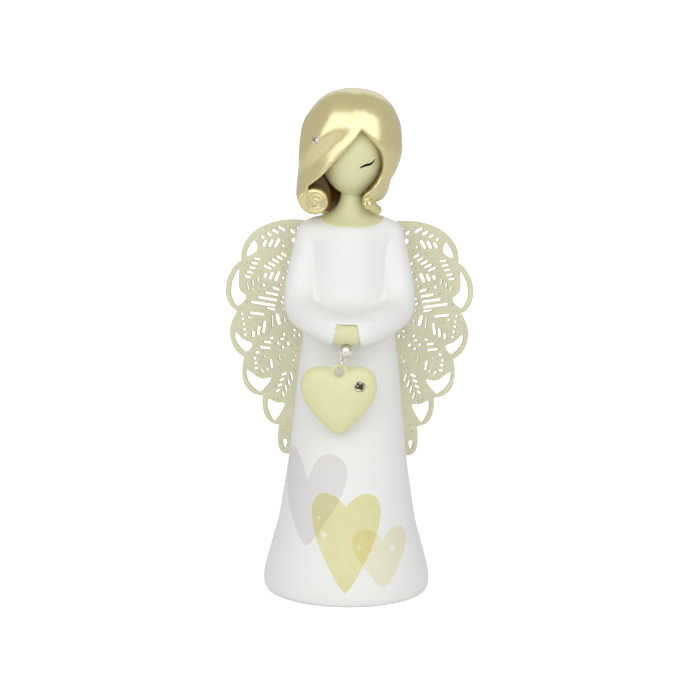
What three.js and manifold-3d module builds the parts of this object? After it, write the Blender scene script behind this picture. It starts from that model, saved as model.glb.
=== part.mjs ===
// A cast resin angel figurine, 155 mm tall, in a long plain gown. Its hands are clasped in front and hold
// a wire pin, on which a bead, a ring and a puffed heart hang. Two cut metal wings sit in slots in its back.
// Millimetres. +Z is up, the figure faces -Y, and the origin is the middle of the base.

import * as THREE from 'three';
import { mergeVertices } from 'three/addons/utils/BufferGeometryUtils.js';
import Module from 'manifold-3d';

const wasm = await Module();
wasm.setup();

// Driving dimensions

const GAP = 0.3; // between two castings that meet

const GOWN_OUTLINE = [ // [half width, height] up the side of the gown
  [25.1, 0], [25.7, 3.4], [24.9, 8.2], [23.1, 15], [21.2, 22], [19.9, 30], [18.2, 41.5], [16.8, 55],
  [15.5, 68.5], [13.9, 81], [12.5, 90], [12.2, 100], [12.3, 108], [11.3, 112.5], [9.5, 115],
];
const HEM_DEPTH_RATIO = 0.97; // the gown's depth over its width, at the hem and at the shoulders
const SHOULDER_DEPTH_RATIO = 0.76;
const FLATTENING_FROM = 30;
const FLATTENING_TO = 115;

const ARM_POINTS = [ // [x, y, z, radius] from the shoulder to the wrist
  [11.6, 0.3, 110.6, 4.7], [13.9, -1, 100.5, 4.8], [15.1, -3.5, 89.6, 4.8],
  [9.5, -14.5, 85.6, 4.6], [3.5, -20, 84.5, 4.4],
];
const LAP = { centre: [0, -9.5, 86.2], size: [12, 10, 3.6] }; // closes the pocket between the arms

const HANDS_MIDDLE = -0.7;
const HANDS_RADIUS = 3.6;
const HANDS_AXIS = { y: -20.5, z: 84.1 };
const CUFFS = { low: 78, high: 92, lowLeft: -5.2, lowRight: 3.8, highLeft: -2.2, highRight: 1 };

const FACE = { centre: [0.6, -1.2, 135], size: [10, 9.8, 12.3] };
const NECK_X = 0.4;
const NECK_OUTLINE = [[9.2, 115.3], [6.9, 116.9], [4.8, 119.3], [3.5, 122], [3.4, 126]];
const SPIGOT = { radius: 3, bottom: 108 };

const HAIR_LUMPS = [ // ellipsoids as [centre, half sizes]
  [[0, 0.5, 139], [15.4, 14, 16]],
  [[-6.8, 0.5, 129], [9.4, 12, 12.5]],
  [[4.2, 0.5, 130.5], [10.2, 12, 13]],
  [[-1.5, 3.2, 124.5], [11.5, 9.5, 6.5]],
];
const CURLS = [ // rolled ends of hair as [from, to, radius]
  [[-11.1, -7.4, 121.4], [-11.1, 1, 121.6], 4.3],
  [[5, -7.5, 122.1], [8, -2, 120.6], 2.4],
];
const FACE_OPENING = [[3.1, 143.3], [7.6, 138.6], [9.5, 131.8], [7.2, 126.5], [4.3, 122]];
const FACE_OPENING_LEFT = [[-5.5, 120], [-8.6, 129.7], [-3.3, 135.5]];
const OPENING_DEPTH = -3; // the face opening reaches back to this y

const WING_SWEEP = THREE.MathUtils.degToRad(18);
const WING_ROOT_Y = 5.5; // where both wings' front faces meet the middle plane
const WING_THICKNESS = 1;
const WING_INNER_EDGE = [[7.2, 110], [8.3, 103], [9, 93], [11, 81], [13.3, 68], [15.5, 53], [17.1, 42]];
const WING_TIP = [19.6, 39.3];
const WING_LOBES = [ // each loop of the outline as [two control points, end], from the top inwards
  [[10, 112.6], [14, 113.6], [18, 113.6]],
  [[28, 113.4], [36.4, 108], [35.7, 99.9]],
  [[41.4, 96.6], [43.2, 86.2], [37, 83.8]],
  [[40.8, 78.8], [40.2, 71.6], [34.6, 69.3]],
  [[36.2, 62.4], [34.8, 57.3], [28.3, 57.3]],
  [[28.9, 51.8], [27.2, 48.5], [22.9, 48.5]],
  [[23.6, 42.2], [23.2, 39], [19.6, 39.3]],
];
const WING_WINDOWS = [ // the large openings inside the loops
  [[31.4, 106.4], [33.6, 103.6], [34, 101.3], [30.5, 103.4]],
  [[36.5, 97], [38.7, 93.5], [39.2, 90], [38.8, 87.6], [37, 85.4], [34, 88.4], [36.4, 91]],
  [[37.6, 77], [37.5, 74.2], [34.9, 71.3], [33.4, 71.3], [31.9, 73.6], [34.8, 74.8]],
  [[33.7, 65.2], [33.4, 61.8], [30.5, 58.9], [28.8, 58.9], [25.6, 63.1], [29.2, 62.8]],
  [[26.5, 56.4], [26.8, 53.5], [25.1, 50], [23.8, 50.2], [21, 55.2], [23.8, 55.5]],
  [[21.7, 43.6], [20.1, 43.7], [20.9, 40.9]],
];
const WING_TABS = [{ bottom: 85, top: 90, inner: 5 }, { bottom: 99, top: 105, inner: 3.5 }];
const TAB_OUTER = 11;
const SLOT_GAP = 0.3;

const PIN_LEAN = THREE.MathUtils.degToRad(20.5); // the pendant's axis leans this far from upright
const BEAD_CENTRE = new THREE.Vector3(-0.86, -21, 78.45);
const BEAD_RADIUS = 2.1;
const BEAD_BORE = 0.4;
const BEAD_COUNTERBORE = { radius: 1.12, from: 1.3 };
const PIN_WIRE = 0.26;
const PIN_LENGTH_UP = 6.5;
const EYE_DISTANCE = 2.4; // from the bead's centre down the pin's axis
const EYE_RADIUS = 0.72;
const RING_RADIUS = 1.55;
const RING_WIRE = 0.3;
const LINK_PLAY = 0.06;

const HEART_THICKNESS = 7;
const HEART_TIP_Z = 53;
const HEART_MIDDLE = 11.4; // up from the tip, where the heart is thickest
const HEART_NOTCH = [0, 17];
const HEART_SIDE = [ // the right half as [two control points, end], from the notch to the tip
  [[1.2, 19.6], [3.2, 20.8], [5.6, 20.8]],
  [[8.9, 20.8], [11.375, 18.4], [11.375, 15]],
  [[11.375, 12], [9.9, 8.75], [6.35, 5.1]],
  [[4.2, 3], [1.6, 0], [0, 0]],
];
const HEART_LOOP = { radius: 1.97, wire: 0.62 };
const CRYSTAL = { place: [3.45, -23, 68.25], radius: 1.6, height: 1.2 }; // place is its back's middle
const HAIR_CRYSTAL = { radius: 1.3, height: 1.1, place: [-9.4, -9.9, 140.2], facing: [-0.6, -0.78, 0.12] };

// Materials

const finish = (colour, roughness, metalness) =>
  new THREE.MeshStandardMaterial({ color: colour, roughness, metalness });

const whiteSatin = () => finish(0xf0f2ef, 0.35, 0);
const creamSkin = () => finish(0xe3dfae, 0.45, 0);
const pearlGold = () => finish(0xc9b878, 0.35, 0.4);
const wingCream = () => finish(0xd2cba3, 0.6, 0.1);
const polishedSilver = () => finish(0xc8c8c8, 0.15, 1);
const clearStone = () => finish(0xe8ecf2, 0.05, 0);

// Solids: closed geometries as manifolds, and back

function solid(geometry) {
  const bare = geometry.clone();
  bare.deleteAttribute('normal');
  bare.deleteAttribute('uv');
  const merged = mergeVertices(bare, 1e-4);
  const triangles = [];
  for (let i = 0; i < merged.index.count; i += 3) {
    const [a, b, c] = [0, 1, 2].map((corner) => merged.index.getX(i + corner));
    if (a !== b && b !== c && c !== a) triangles.push(a, b, c);
  }
  return new wasm.Manifold(new wasm.Mesh({
    numProp: 3,
    vertProperties: new Float32Array(merged.attributes.position.array),
    triVerts: new Uint32Array(triangles),
  }));
}

function surface(manifold) {
  const mesh = manifold.getMesh();
  const geometry = new THREE.BufferGeometry();
  geometry.setAttribute('position', new THREE.BufferAttribute(new Float32Array(mesh.vertProperties), 3));
  geometry.setIndex(new THREE.BufferAttribute(new Uint32Array(mesh.triVerts), 1));
  geometry.computeVertexNormals();
  return geometry;
}

const join = (solids) => solids.reduce((whole, next) => whole.add(next));

function ellipsoid([x, y, z], [sizeX, sizeY, sizeZ], grow = 0, sides = 20) {
  const ball = new THREE.SphereGeometry(1, sides, Math.round(sides * 0.6));
  ball.rotateX(Math.PI / 2);
  ball.scale(sizeX + grow, sizeY + grow, sizeZ + grow);
  ball.translate(x, y, z);
  return solid(ball);
}

// A round bar from one ball to another, with a radius at each end.
function roundBar(from, fromRadius, to, toRadius, sides = 14) {
  const [start, end] = [new THREE.Vector3(...from), new THREE.Vector3(...to)];
  const length = start.distanceTo(end);
  const capSteps = 4;
  const profile = [];
  for (let i = 0; i <= capSteps; i++) {
    const angle = (i / capSteps) * Math.PI / 2;
    profile.push(new THREE.Vector2(fromRadius * Math.sin(angle), -fromRadius * Math.cos(angle)));
  }
  for (let i = 0; i <= capSteps; i++) {
    const angle = (i / capSteps) * Math.PI / 2;
    profile.push(new THREE.Vector2(toRadius * Math.cos(angle), length + toRadius * Math.sin(angle)));
  }
  const bar = new THREE.LatheGeometry(profile, sides);
  const along = end.clone().sub(start).normalize();
  bar.applyQuaternion(new THREE.Quaternion().setFromUnitVectors(new THREE.Vector3(0, 1, 0), along));
  bar.translate(...start.toArray());
  return solid(bar);
}

// A flat outline in X and Z, given its thickness from one y to another.
function slabAcross(points, fromY, toY) {
  const slab = new THREE.ExtrudeGeometry(new THREE.Shape(points), {
    depth: toY - fromY, bevelEnabled: false,
  });
  slab.rotateX(Math.PI / 2);
  slab.translate(0, toY, 0);
  return solid(slab);
}

const points2 = (pairs) => pairs.map(([a, b]) => new THREE.Vector2(a, b));

// Gown: a turned outline flattened towards the shoulders, with sleeves, cuffs, socket and slots

function depthRatio(z) {
  const share = THREE.MathUtils.smoothstep(z, FLATTENING_FROM, FLATTENING_TO);
  return THREE.MathUtils.lerp(HEM_DEPTH_RATIO, SHOULDER_DEPTH_RATIO, share);
}

function turnedBody() {
  const side = new THREE.SplineCurve(points2(GOWN_OUTLINE)).getPoints(22);
  const top = GOWN_OUTLINE.at(-1)[1];
  const body = new THREE.LatheGeometry(
    [new THREE.Vector2(0, 0), ...side, new THREE.Vector2(0, top)], 36,
  );
  body.rotateX(Math.PI / 2);
  const place = body.attributes.position;
  for (let i = 0; i < place.count; i++) {
    place.setY(i, place.getY(i) * depthRatio(place.getZ(i)));
  }
  return solid(body);
}

function sleeves() {
  const bars = [];
  for (const side of [-1, 1]) {
    for (let i = 1; i < ARM_POINTS.length; i++) {
      const [from, to] = [ARM_POINTS[i - 1], ARM_POINTS[i]];
      bars.push(roundBar(
        [side * from[0], from[1], from[2]], from[3], [side * to[0], to[1], to[2]], to[3],
      ));
    }
  }
  return join(bars);
}

// The wedge between the cuffs, where the hands show.
function cuffWedge(inset) {
  const { low, high, lowLeft, lowRight, highLeft, highRight } = CUFFS;
  const corners = points2([
    [lowLeft + inset, low], [lowRight - inset, low], [highRight - inset, high], [highLeft + inset, high],
  ]);
  return slabAcross(corners, -27, -13 - inset);
}

function neckSocket() {
  const depth = 10;
  const socket = new THREE.CylinderGeometry(SPIGOT.radius + GAP, SPIGOT.radius + GAP, depth, 24);
  socket.rotateX(Math.PI / 2);
  socket.translate(NECK_X, 0, SPIGOT.bottom - GAP + depth / 2);
  return solid(socket);
}

function gown() {
  const casting = join([turnedBody(), sleeves(), ellipsoid(LAP.centre, LAP.size)]);
  const slots = [-1, 1].flatMap((side) => WING_TABS.map((tab) => wingPlaced(tabSlot(tab, side), side)));
  return surface([cuffWedge(0), neckSocket(), ...slots].reduce((rest, cut) => rest.subtract(cut), casting));
}

// Hands: a short round bar that fills the wedge between the cuffs, with a dimple for the bead

function hands() {
  const { y, z } = HANDS_AXIS;
  const bar = roundBar([HANDS_MIDDLE - 6, y, z], HANDS_RADIUS, [HANDS_MIDDLE + 6, y, z], HANDS_RADIUS, 28);
  const dimple = ellipsoid(BEAD_CENTRE.toArray(), [BEAD_RADIUS, BEAD_RADIUS, BEAD_RADIUS], 0.2, 20);
  const bore = solid(alongPin(new THREE.CylinderGeometry(BEAD_BORE, BEAD_BORE, 9, 16), -4.5));
  return surface(bar.intersect(cuffWedge(GAP)).subtract(dimple).subtract(bore));
}

// Head: the face, the neck and a spigot in one casting

function head(grow) {
  const outline = [
    new THREE.Vector2(0, SPIGOT.bottom),
    new THREE.Vector2(SPIGOT.radius + grow, SPIGOT.bottom),
    new THREE.Vector2(SPIGOT.radius + grow, NECK_OUTLINE[0][1]),
    ...points2(NECK_OUTLINE).map((point) => point.add(new THREE.Vector2(grow, 0))),
  ];
  outline.push(new THREE.Vector2(0, NECK_OUTLINE.at(-1)[1]));
  const neck = new THREE.LatheGeometry(outline, 24);
  neck.rotateX(Math.PI / 2);
  neck.scale(1, SHOULDER_DEPTH_RATIO, 1);
  neck.translate(NECK_X, 0, 0);
  return solid(neck).add(ellipsoid(FACE.centre, FACE.size, grow, 26));
}

// Hair: a rounded bob with two rolled ends, hollowed for the head and open over the face

function faceOpening() {
  const edge = [...FACE_OPENING, ...FACE_OPENING_LEFT];
  return slabAcross(points2(edge), -30, OPENING_DEPTH);
}

function hair() {
  const bob = join(HAIR_LUMPS.map(([centre, size]) => ellipsoid(centre, size, 0, 24)));
  const rolls = join(CURLS.map(([from, to, radius]) => roundBar(from, radius, to, radius)));
  const pocket = stonePlaced(solid(stoneShape(HAIR_CRYSTAL, 0.15)));
  return surface(bob.subtract(faceOpening()).add(rolls).subtract(head(GAP)).subtract(pocket));
}

// Wings: flat plates with a looped outline, their openings and two tabs

function wingOutline(side) {
  const outline = new THREE.Path();
  outline.moveTo(side * WING_TIP[0], WING_TIP[1]);
  outline.splineThru([...WING_INNER_EDGE].reverse().map(([across, z]) => new THREE.Vector2(side * across, z)));
  for (const [first, second, end] of WING_LOBES) {
    outline.bezierCurveTo(
      side * first[0], first[1], side * second[0], second[1], side * end[0], end[1],
    );
  }
  return outline.getPoints(7);
}

function windowOutline(corners, side) {
  const loop = corners.map(([across, z]) => new THREE.Vector3(side * across, z, 0));
  return new THREE.CatmullRomCurve3(loop, true, 'centripetal').getPoints(corners.length * 3)
    .slice(0, -1)
    .map((point) => new THREE.Vector2(point.x, point.y));
}

const tabOutline = (side, inner, bottom, top) => points2([
  [side * inner, bottom], [side * TAB_OUTER, bottom], [side * TAB_OUTER, top], [side * inner, top],
]);

function plate(outline, grow = 0) {
  const slab = new THREE.ExtrudeGeometry(outline, {
    depth: WING_THICKNESS + 2 * grow, bevelEnabled: false, curveSegments: 4,
  });
  slab.translate(0, 0, -WING_THICKNESS - grow);
  return solid(slab);
}

const tabSlot = (tab, side) => plate(new THREE.Shape(
  tabOutline(side, tab.inner - SLOT_GAP, tab.bottom - SLOT_GAP, tab.top + SLOT_GAP),
), SLOT_GAP);

// From the wing's own plane to its place, swept back from the middle.
function wingPlaced(flat, side) {
  const place = new THREE.Matrix4()
    .makeTranslation(0, WING_ROOT_Y, 0)
    .multiply(new THREE.Matrix4().makeRotationZ(side * WING_SWEEP))
    .multiply(new THREE.Matrix4().makeRotationX(Math.PI / 2));
  return flat.transform(place.elements);
}

function wing(side) {
  const blank = plate(new THREE.Shape(wingOutline(side)));
  const tabs = WING_TABS.map(({ inner, bottom, top }) =>
    plate(new THREE.Shape(tabOutline(side, inner, bottom, top))));
  const windows = WING_WINDOWS.map((corners) => plate(new THREE.Shape(windowOutline(corners, side)), 1));
  const whole = windows.reduce((rest, window) => rest.subtract(window), join([blank, ...tabs]));
  return surface(wingPlaced(whole, side));
}

// Pendant: pin, bead, ring and heart. The pin's axis leans sideways from upright.

const pinDown = new THREE.Vector3(-Math.sin(PIN_LEAN), 0, -Math.cos(PIN_LEAN));
const onPin = (distance) => BEAD_CENTRE.clone().addScaledVector(pinDown, distance);

// Leans a geometry whose own axis is Y over to the pin, with its centre that far below the bead's.
function alongPin(geometry, distance) {
  const lean = new THREE.Quaternion().setFromUnitVectors(new THREE.Vector3(0, -1, 0), pinDown);
  geometry.applyQuaternion(lean);
  geometry.translate(...onPin(distance).toArray());
  return geometry;
}

const SWING_POINT = onPin(EYE_DISTANCE + EYE_RADIUS);
const RING_TOP_DISTANCE = EYE_DISTANCE + EYE_RADIUS - PIN_WIRE - RING_WIRE - LINK_PLAY;
const RING_BOTTOM = onPin(RING_TOP_DISTANCE + 2 * RING_RADIUS);

function eyePin() {
  const shankLength = PIN_LENGTH_UP + EYE_DISTANCE - EYE_RADIUS;
  const shank = new THREE.CylinderGeometry(PIN_WIRE, PIN_WIRE, shankLength, 12);
  const shankMiddle = EYE_DISTANCE - EYE_RADIUS - shankLength / 2;
  const eye = new THREE.TorusGeometry(EYE_RADIUS, PIN_WIRE, 8, 18);
  return surface(solid(alongPin(shank, shankMiddle)).add(solid(alongPin(eye, EYE_DISTANCE))));
}

function bead() {
  const ball = solid(alongPin(new THREE.SphereGeometry(BEAD_RADIUS, 20, 14), 0));
  const bore = solid(alongPin(new THREE.CylinderGeometry(BEAD_BORE, BEAD_BORE, 6, 16), 0));
  const { radius, from } = BEAD_COUNTERBORE;
  const recess = solid(alongPin(new THREE.CylinderGeometry(radius, radius, 2, 20), from + 1));
  return surface(ball.subtract(bore).subtract(recess));
}

function jumpRing() {
  const ring = new THREE.TorusGeometry(RING_RADIUS, RING_WIRE, 8, 24);
  ring.rotateY(Math.PI / 2);
  return surface(solid(alongPin(ring, RING_TOP_DISTANCE + RING_RADIUS)));
}

// The outline of the heart as points round it, from the notch down the left side and up the right.
function heartOutline(count) {
  const side = new THREE.CurvePath();
  let start = new THREE.Vector2(...HEART_NOTCH);
  for (const [first, second, end] of HEART_SIDE) {
    const stop = new THREE.Vector2(...end);
    side.add(new THREE.CubicBezierCurve(start, ...points2([first, second]), stop));
    start = stop;
  }
  const right = side.getSpacedPoints(count / 2);
  const left = right.map((point) => new THREE.Vector2(-point.x, point.y));
  return [...left, ...right.slice(1, -1).reverse()];
}

// A ball whose rings of latitude follow the heart's outline, so that it is puffed on both faces.
function heartBody() {
  const around = 44;
  const outline = heartOutline(around);
  const middle = new THREE.Vector2(0, HEART_MIDDLE);
  const ball = new THREE.SphereGeometry(1, around, 10);
  const place = ball.attributes.position;
  const columns = around + 1;
  for (let i = 0; i < place.count; i++) {
    const edge = outline[(i % columns) % around];
    const height = place.getY(i);
    const spread = Math.sqrt(Math.max(0, 1 - Math.abs(height) ** 2.4));
    const x = middle.x + (edge.x - middle.x) * spread;
    const z = middle.y + (edge.y - middle.y) * spread;
    place.setXYZ(i, RING_BOTTOM.x + x, RING_BOTTOM.y - height * HEART_THICKNESS / 2, HEART_TIP_Z + z);
  }
  return solid(ball);
}

function heartCharm() {
  const { radius, wire } = HEART_LOOP;
  const loop = new THREE.TorusGeometry(radius, wire, 8, 24);
  loop.rotateX(Math.PI / 2);
  const loopTop = RING_BOTTOM.z + RING_WIRE + LINK_PLAY + 2 * wire;
  loop.translate(RING_BOTTOM.x, RING_BOTTOM.y, loopTop - wire - radius);
  const hole = new THREE.CylinderGeometry(radius - wire, radius - wire, 12, 24);
  hole.translate(RING_BOTTOM.x, RING_BOTTOM.y, loopTop - wire - radius);
  const pocket = solid(stoneShape(CRYSTAL, 0.15)).translate(...CRYSTAL.place);
  return surface(heartBody().subtract(solid(hole)).add(solid(loop)).subtract(pocket));
}

// Cut stones: a low cone with a flat table, which stands on -Y

function stoneShape({ radius, height }, grow) {
  const table = radius * 0.55;
  const outline = points2([
    [0, -grow], [radius * 0.8 + grow, -grow], [radius + grow, height * 0.4], [table, height + grow],
    [0, height + grow],
  ]);
  const stone = new THREE.LatheGeometry(outline, 12);
  stone.rotateX(Math.PI);
  return stone;
}

const heartCrystal = () => surface(solid(stoneShape(CRYSTAL, 0)).translate(...CRYSTAL.place));

function stonePlaced(stone) {
  const facing = new THREE.Vector3(...HAIR_CRYSTAL.facing).normalize();
  const turn = new THREE.Quaternion().setFromUnitVectors(new THREE.Vector3(0, -1, 0), facing);
  const place = new THREE.Matrix4().compose(
    new THREE.Vector3(...HAIR_CRYSTAL.place), turn, new THREE.Vector3(1, 1, 1),
  );
  return stone.transform(place.elements);
}

const hairCrystal = () => surface(stonePlaced(solid(stoneShape(HAIR_CRYSTAL, 0))));

// Assembly

function named(name, geometry, material) {
  const mesh = new THREE.Mesh(geometry, material);
  mesh.name = name;
  return mesh;
}

const figure = new THREE.Group();
figure.add(
  named('gown', gown(), whiteSatin()),
  named('hands', hands(), creamSkin()),
  named('head', surface(head(0)), creamSkin()),
  named('hair', hair(), pearlGold()),
  named('wing_left', wing(-1), wingCream()),
  named('wing_right', wing(1), wingCream()),
  named('eye_pin', eyePin(), polishedSilver()),
  named('bead', bead(), polishedSilver()),
  named('jump_ring', jumpRing(), polishedSilver()),
  named('heart_charm', heartCharm(), creamSkin()),
  named('heart_crystal', heartCrystal(), clearStone()),
  named('hair_crystal', hairCrystal(), clearStone()),
);

export default figure;
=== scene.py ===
"""Angel figurine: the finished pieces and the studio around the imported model, laid out as an add-on.

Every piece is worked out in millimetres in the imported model's own frame and put into its mesh in metres.
"""

import math

import bmesh
import bpy
import numpy as np
from bpy.props import FloatProperty, FloatVectorProperty, PointerProperty
from bpy.types import Operator, Panel, PropertyGroup
from mathutils import Euler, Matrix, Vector


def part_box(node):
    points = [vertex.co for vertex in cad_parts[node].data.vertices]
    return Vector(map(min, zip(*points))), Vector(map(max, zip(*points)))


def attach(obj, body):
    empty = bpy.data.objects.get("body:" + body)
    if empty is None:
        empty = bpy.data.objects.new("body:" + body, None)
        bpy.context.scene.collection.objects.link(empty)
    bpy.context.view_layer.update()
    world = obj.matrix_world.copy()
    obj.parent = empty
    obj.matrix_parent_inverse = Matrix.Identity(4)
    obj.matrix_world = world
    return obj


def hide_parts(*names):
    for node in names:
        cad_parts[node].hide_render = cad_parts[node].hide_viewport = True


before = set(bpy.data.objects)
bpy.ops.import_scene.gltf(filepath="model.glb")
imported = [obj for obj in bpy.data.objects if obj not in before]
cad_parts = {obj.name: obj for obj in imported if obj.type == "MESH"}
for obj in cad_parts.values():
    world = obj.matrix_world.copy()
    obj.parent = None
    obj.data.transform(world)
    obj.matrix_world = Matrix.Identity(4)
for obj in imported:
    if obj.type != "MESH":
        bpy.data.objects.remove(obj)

bl_info = {
    "name": "Angel figurine",
    "version": (1, 0, 0),
    "blender": (4, 5, 0),
    "location": "3D View > Sidebar > Figurine",
    "description": "Builds the finished pieces of an angel figurine around its packed frame",
    "category": "Object",
}

MM = 0.001
FULL_TURN = 2 * math.pi


def span(node):
    """Lowest and highest corner of a CAD node, in millimetres."""
    low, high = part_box(node)
    return np.array(low) / MM, np.array(high) / MM


# ---------------------------------------------------------------- curves and fields


def spline(knots, steps, closed=False):
    """Points along a Catmull-Rom curve through the knots: each stretch is the cubic whose slope at a knot is
    half the step from the knot before it to the knot after it."""
    knots = np.asarray(knots, float)
    if closed:
        before, first, second, after = (np.roll(knots, shift, axis=0) for shift in (1, 0, -1, -2))
    else:
        padded = np.concatenate([2 * knots[:1] - knots[1:2], knots, 2 * knots[-1:] - knots[-2:-1]])
        before, first, second, after = padded[:-3], padded[1:-2], padded[2:-1], padded[3:]
    t = (np.arange(steps) / steps)[None, :, None]
    before, first, second, after = (k[:, None, :] for k in (before, first, second, after))
    curve = 0.5 * (
        2 * first + (second - before) * t
        + (2 * before - 5 * first + 4 * second - after) * t ** 2
        + (3 * first - before - 3 * second + after) * t ** 3
    )
    curve = curve.reshape(-1, knots.shape[1])
    return curve if closed else np.concatenate([curve, knots[-1:]])


def bezier(start, stretches, steps):
    """Points along cubic Bezier stretches, each given as its two handles and its end."""
    t = (np.arange(1, steps + 1) / steps)[:, None]
    points, here = [np.array([start], float)], np.array(start, float)
    for handle, other, end in (np.array(stretch, float) for stretch in stretches):
        ours, theirs = 3 * t * (1 - t) ** 2, 3 * t ** 2 * (1 - t)
        points.append(here * (1 - t) ** 3 + handle * ours + other * theirs + end * t ** 3)
        here = end
    return np.concatenate(points)


def ease(low, high, value):
    """0 below low, 1 above high, and a smooth S between them."""
    share = np.clip((value - low) / (high - low), 0, 1)
    return share * share * (3 - 2 * share)


def weld(first, second, width):
    """Union of two fields with a fillet: their least value, less a parabola where they differ by under
    width."""
    share = np.clip(0.5 + 0.5 * (second - first) / width, 0, 1)
    return second + (first - second) * share - width * share * (1 - share)


def trim(first, second, width):
    """What is inside both fields, with the corner between them rounded over width."""
    return -weld(-first, -second, width)


def rod(x, y, z, start, end, start_radius, end_radius):
    """Distance to a rod with ball ends whose radius changes evenly from one end to the other."""
    along = np.subtract(end, start)
    reach = sum((v - s) * a for v, s, a in zip((x, y, z), start, along)) / (along @ along)
    reach = np.clip(reach, 0, 1)
    dx, dy, dz = (v - s - reach * a for v, s, a in zip((x, y, z), start, along))
    return np.sqrt(dx * dx + dy * dy + dz * dz) - (start_radius + (end_radius - start_radius) * reach)


def ellipsoid(x, y, z, centre, size):
    """About the distance to an ellipsoid: its gauge less one, times its least half size."""
    gauge = np.sqrt(sum(((v - c) / s) ** 2 for v, c, s in zip((x, y, z), centre, size)))
    return (gauge - 1) * min(size)


def outline_distance(outline, low, high, step=0.25):
    """A function that gives the distance to a closed outline in a plane, below zero inside it. The distance
    to the nearest edge is worked out once on a grid, signed by how often a ray crosses the outline, and
    then read off between the grid's points in straight lines."""
    start, end = outline, np.roll(outline, -1, axis=0)
    across, up = (np.arange(a, b + step, step) for a, b in zip(low, high))
    px, pz = np.meshgrid(across, up, indexing="ij")
    nearest, crossings = np.full(px.shape, np.inf), np.zeros(px.shape, int)
    for (ax, az), (bx, bz) in zip(start, end):
        ex, ez = bx - ax, bz - az
        reach = np.clip(((px - ax) * ex + (pz - az) * ez) / max(ex * ex + ez * ez, 1e-9), 0, 1)
        nearest = np.minimum(nearest, np.hypot(px - ax - reach * ex, pz - az - reach * ez))
        if az != bz:
            spans = (az > pz) != (bz > pz)
            crossings += spans & (px < ax + (pz - az) * ex / ez)
    table = np.where(crossings % 2 == 1, -nearest, nearest)

    def distance(x, z):
        i = np.clip((x - low[0]) / step, 0, len(across) - 1.001)
        j = np.clip((z - low[1]) / step, 0, len(up) - 1.001)
        i0, j0 = i.astype(int), j.astype(int)
        fi, fj = i - i0, j - j0
        left = table[i0, j0] * (1 - fj) + table[i0, j0 + 1] * fj
        right = table[i0 + 1, j0] * (1 - fj) + table[i0 + 1, j0 + 1] * fj
        return left * (1 - fi) + right * fi

    return distance


def turning_radius(outline, centre, smoothing=1):
    """A function that gives, for an angle about centre, how far out a closed outline lies. It reads a table
    of one radius per degree, each the mean of its neighbours within smoothing degrees."""
    offset = np.asarray(outline, float) - centre
    angle, radius = np.arctan2(offset[:, 1], offset[:, 0]), np.hypot(offset[:, 0], offset[:, 1])
    order = np.argsort(angle)
    degrees = np.radians(np.arange(-180, 180))
    table = np.interp(degrees, angle[order], radius[order], period=FULL_TURN)
    table = np.mean([np.roll(table, shift) for shift in range(-smoothing, smoothing + 1)], axis=0)
    return lambda turn: np.interp(turn, degrees, table, period=FULL_TURN)


# ---------------------------------------------------------------- meshes


def onto(field, points, step, rounds=3):
    """Points brought onto the surface where a field is zero, by Newton steps along the field's slope."""
    reach = 0.05 * step
    for _ in range(rounds):
        slope = np.stack([
            (field(*(points + reach * unit).T) - field(*(points - reach * unit).T)) / (2 * reach)
            for unit in np.eye(3)
        ], axis=1)
        move = field(*points.T) / np.maximum((slope ** 2).sum(axis=1), 0.04)
        points = points - slope * np.clip(move, -0.4 * step, 0.4 * step)[:, None]
    return points


def skin(field, low, high, step):
    """Closed surface where a field of x, y and z is zero, by the surface-net rule. Space is cut into cubes. A
    cube whose corners aren't all on one side holds one point, the mean of where its edges cross the surface,
    and each crossed edge joins the points of the four cubes around it with a quad. Newton steps then bring
    every point onto the surface itself."""
    ticks = [np.arange(a - 2 * step, b + 3 * step, step) for a, b in zip(low, high)]
    value = field(*np.meshgrid(*ticks, indexing="ij"))
    inside = value < 0
    corners = [np.array([i, j, k]) for i in (0, 1) for j in (0, 1) for k in (0, 1)]
    size = np.array(inside.shape) - 1
    count = sum(inside[i:size[0] + i, j:size[1] + j, k:size[2] + k].astype(np.int8) for i, j, k in corners)
    cubes = np.argwhere((count > 0) & (count < 8))
    number = np.full(size, -1)
    number[tuple(cubes.T)] = np.arange(len(cubes))
    units = np.eye(3, dtype=int)
    total, crossed = np.zeros((len(cubes), 3)), np.zeros(len(cubes))
    for axis in range(3):
        for corner in (c for c in corners if c[axis] == 0):
            near, far = value[tuple((cubes + corner).T)], value[tuple((cubes + corner + units[axis]).T)]
            cut = (near < 0) != (far < 0)
            share = np.where(cut, near / np.where(cut, near - far, 1), 0)
            total += cut[:, None] * (cubes + corner + share[:, None] * units[axis])
            crossed += cut
    points = onto(field, np.array([t[0] for t in ticks]) + total / crossed[:, None] * step, step)
    faces = []
    for axis in range(3):
        one, two = units[(axis + 1) % 3], units[(axis + 2) % 3]
        first = inside.take(np.arange(inside.shape[axis] - 1), axis=axis)
        second = inside.take(np.arange(1, inside.shape[axis]), axis=axis)
        nodes = np.argwhere(first != second)
        shifts = (one + two, two, 0 * one, one)
        ring = np.stack([number[tuple((nodes - shift).T)] for shift in shifts], axis=1)
        leaving = first[tuple(nodes.T)]
        faces.append(np.where(leaving[:, None], ring, ring[:, ::-1]))
    return points, np.concatenate(faces)


def grid_faces(rows, columns, round_rows=False, round_columns=True):
    """Quads between the neighbouring points of a grid, joined round where it closes on itself."""
    i = np.arange(rows if round_rows else rows - 1)[:, None]
    j = np.arange(columns if round_columns else columns - 1)[None, :]
    after_i, after_j = (i + 1) % rows, (j + 1) % columns
    quads = [i * columns + j, after_i * columns + j, after_i * columns + after_j, i * columns + after_j]
    return np.stack(np.broadcast_arrays(*quads), axis=-1).reshape(-1, 4)


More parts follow.
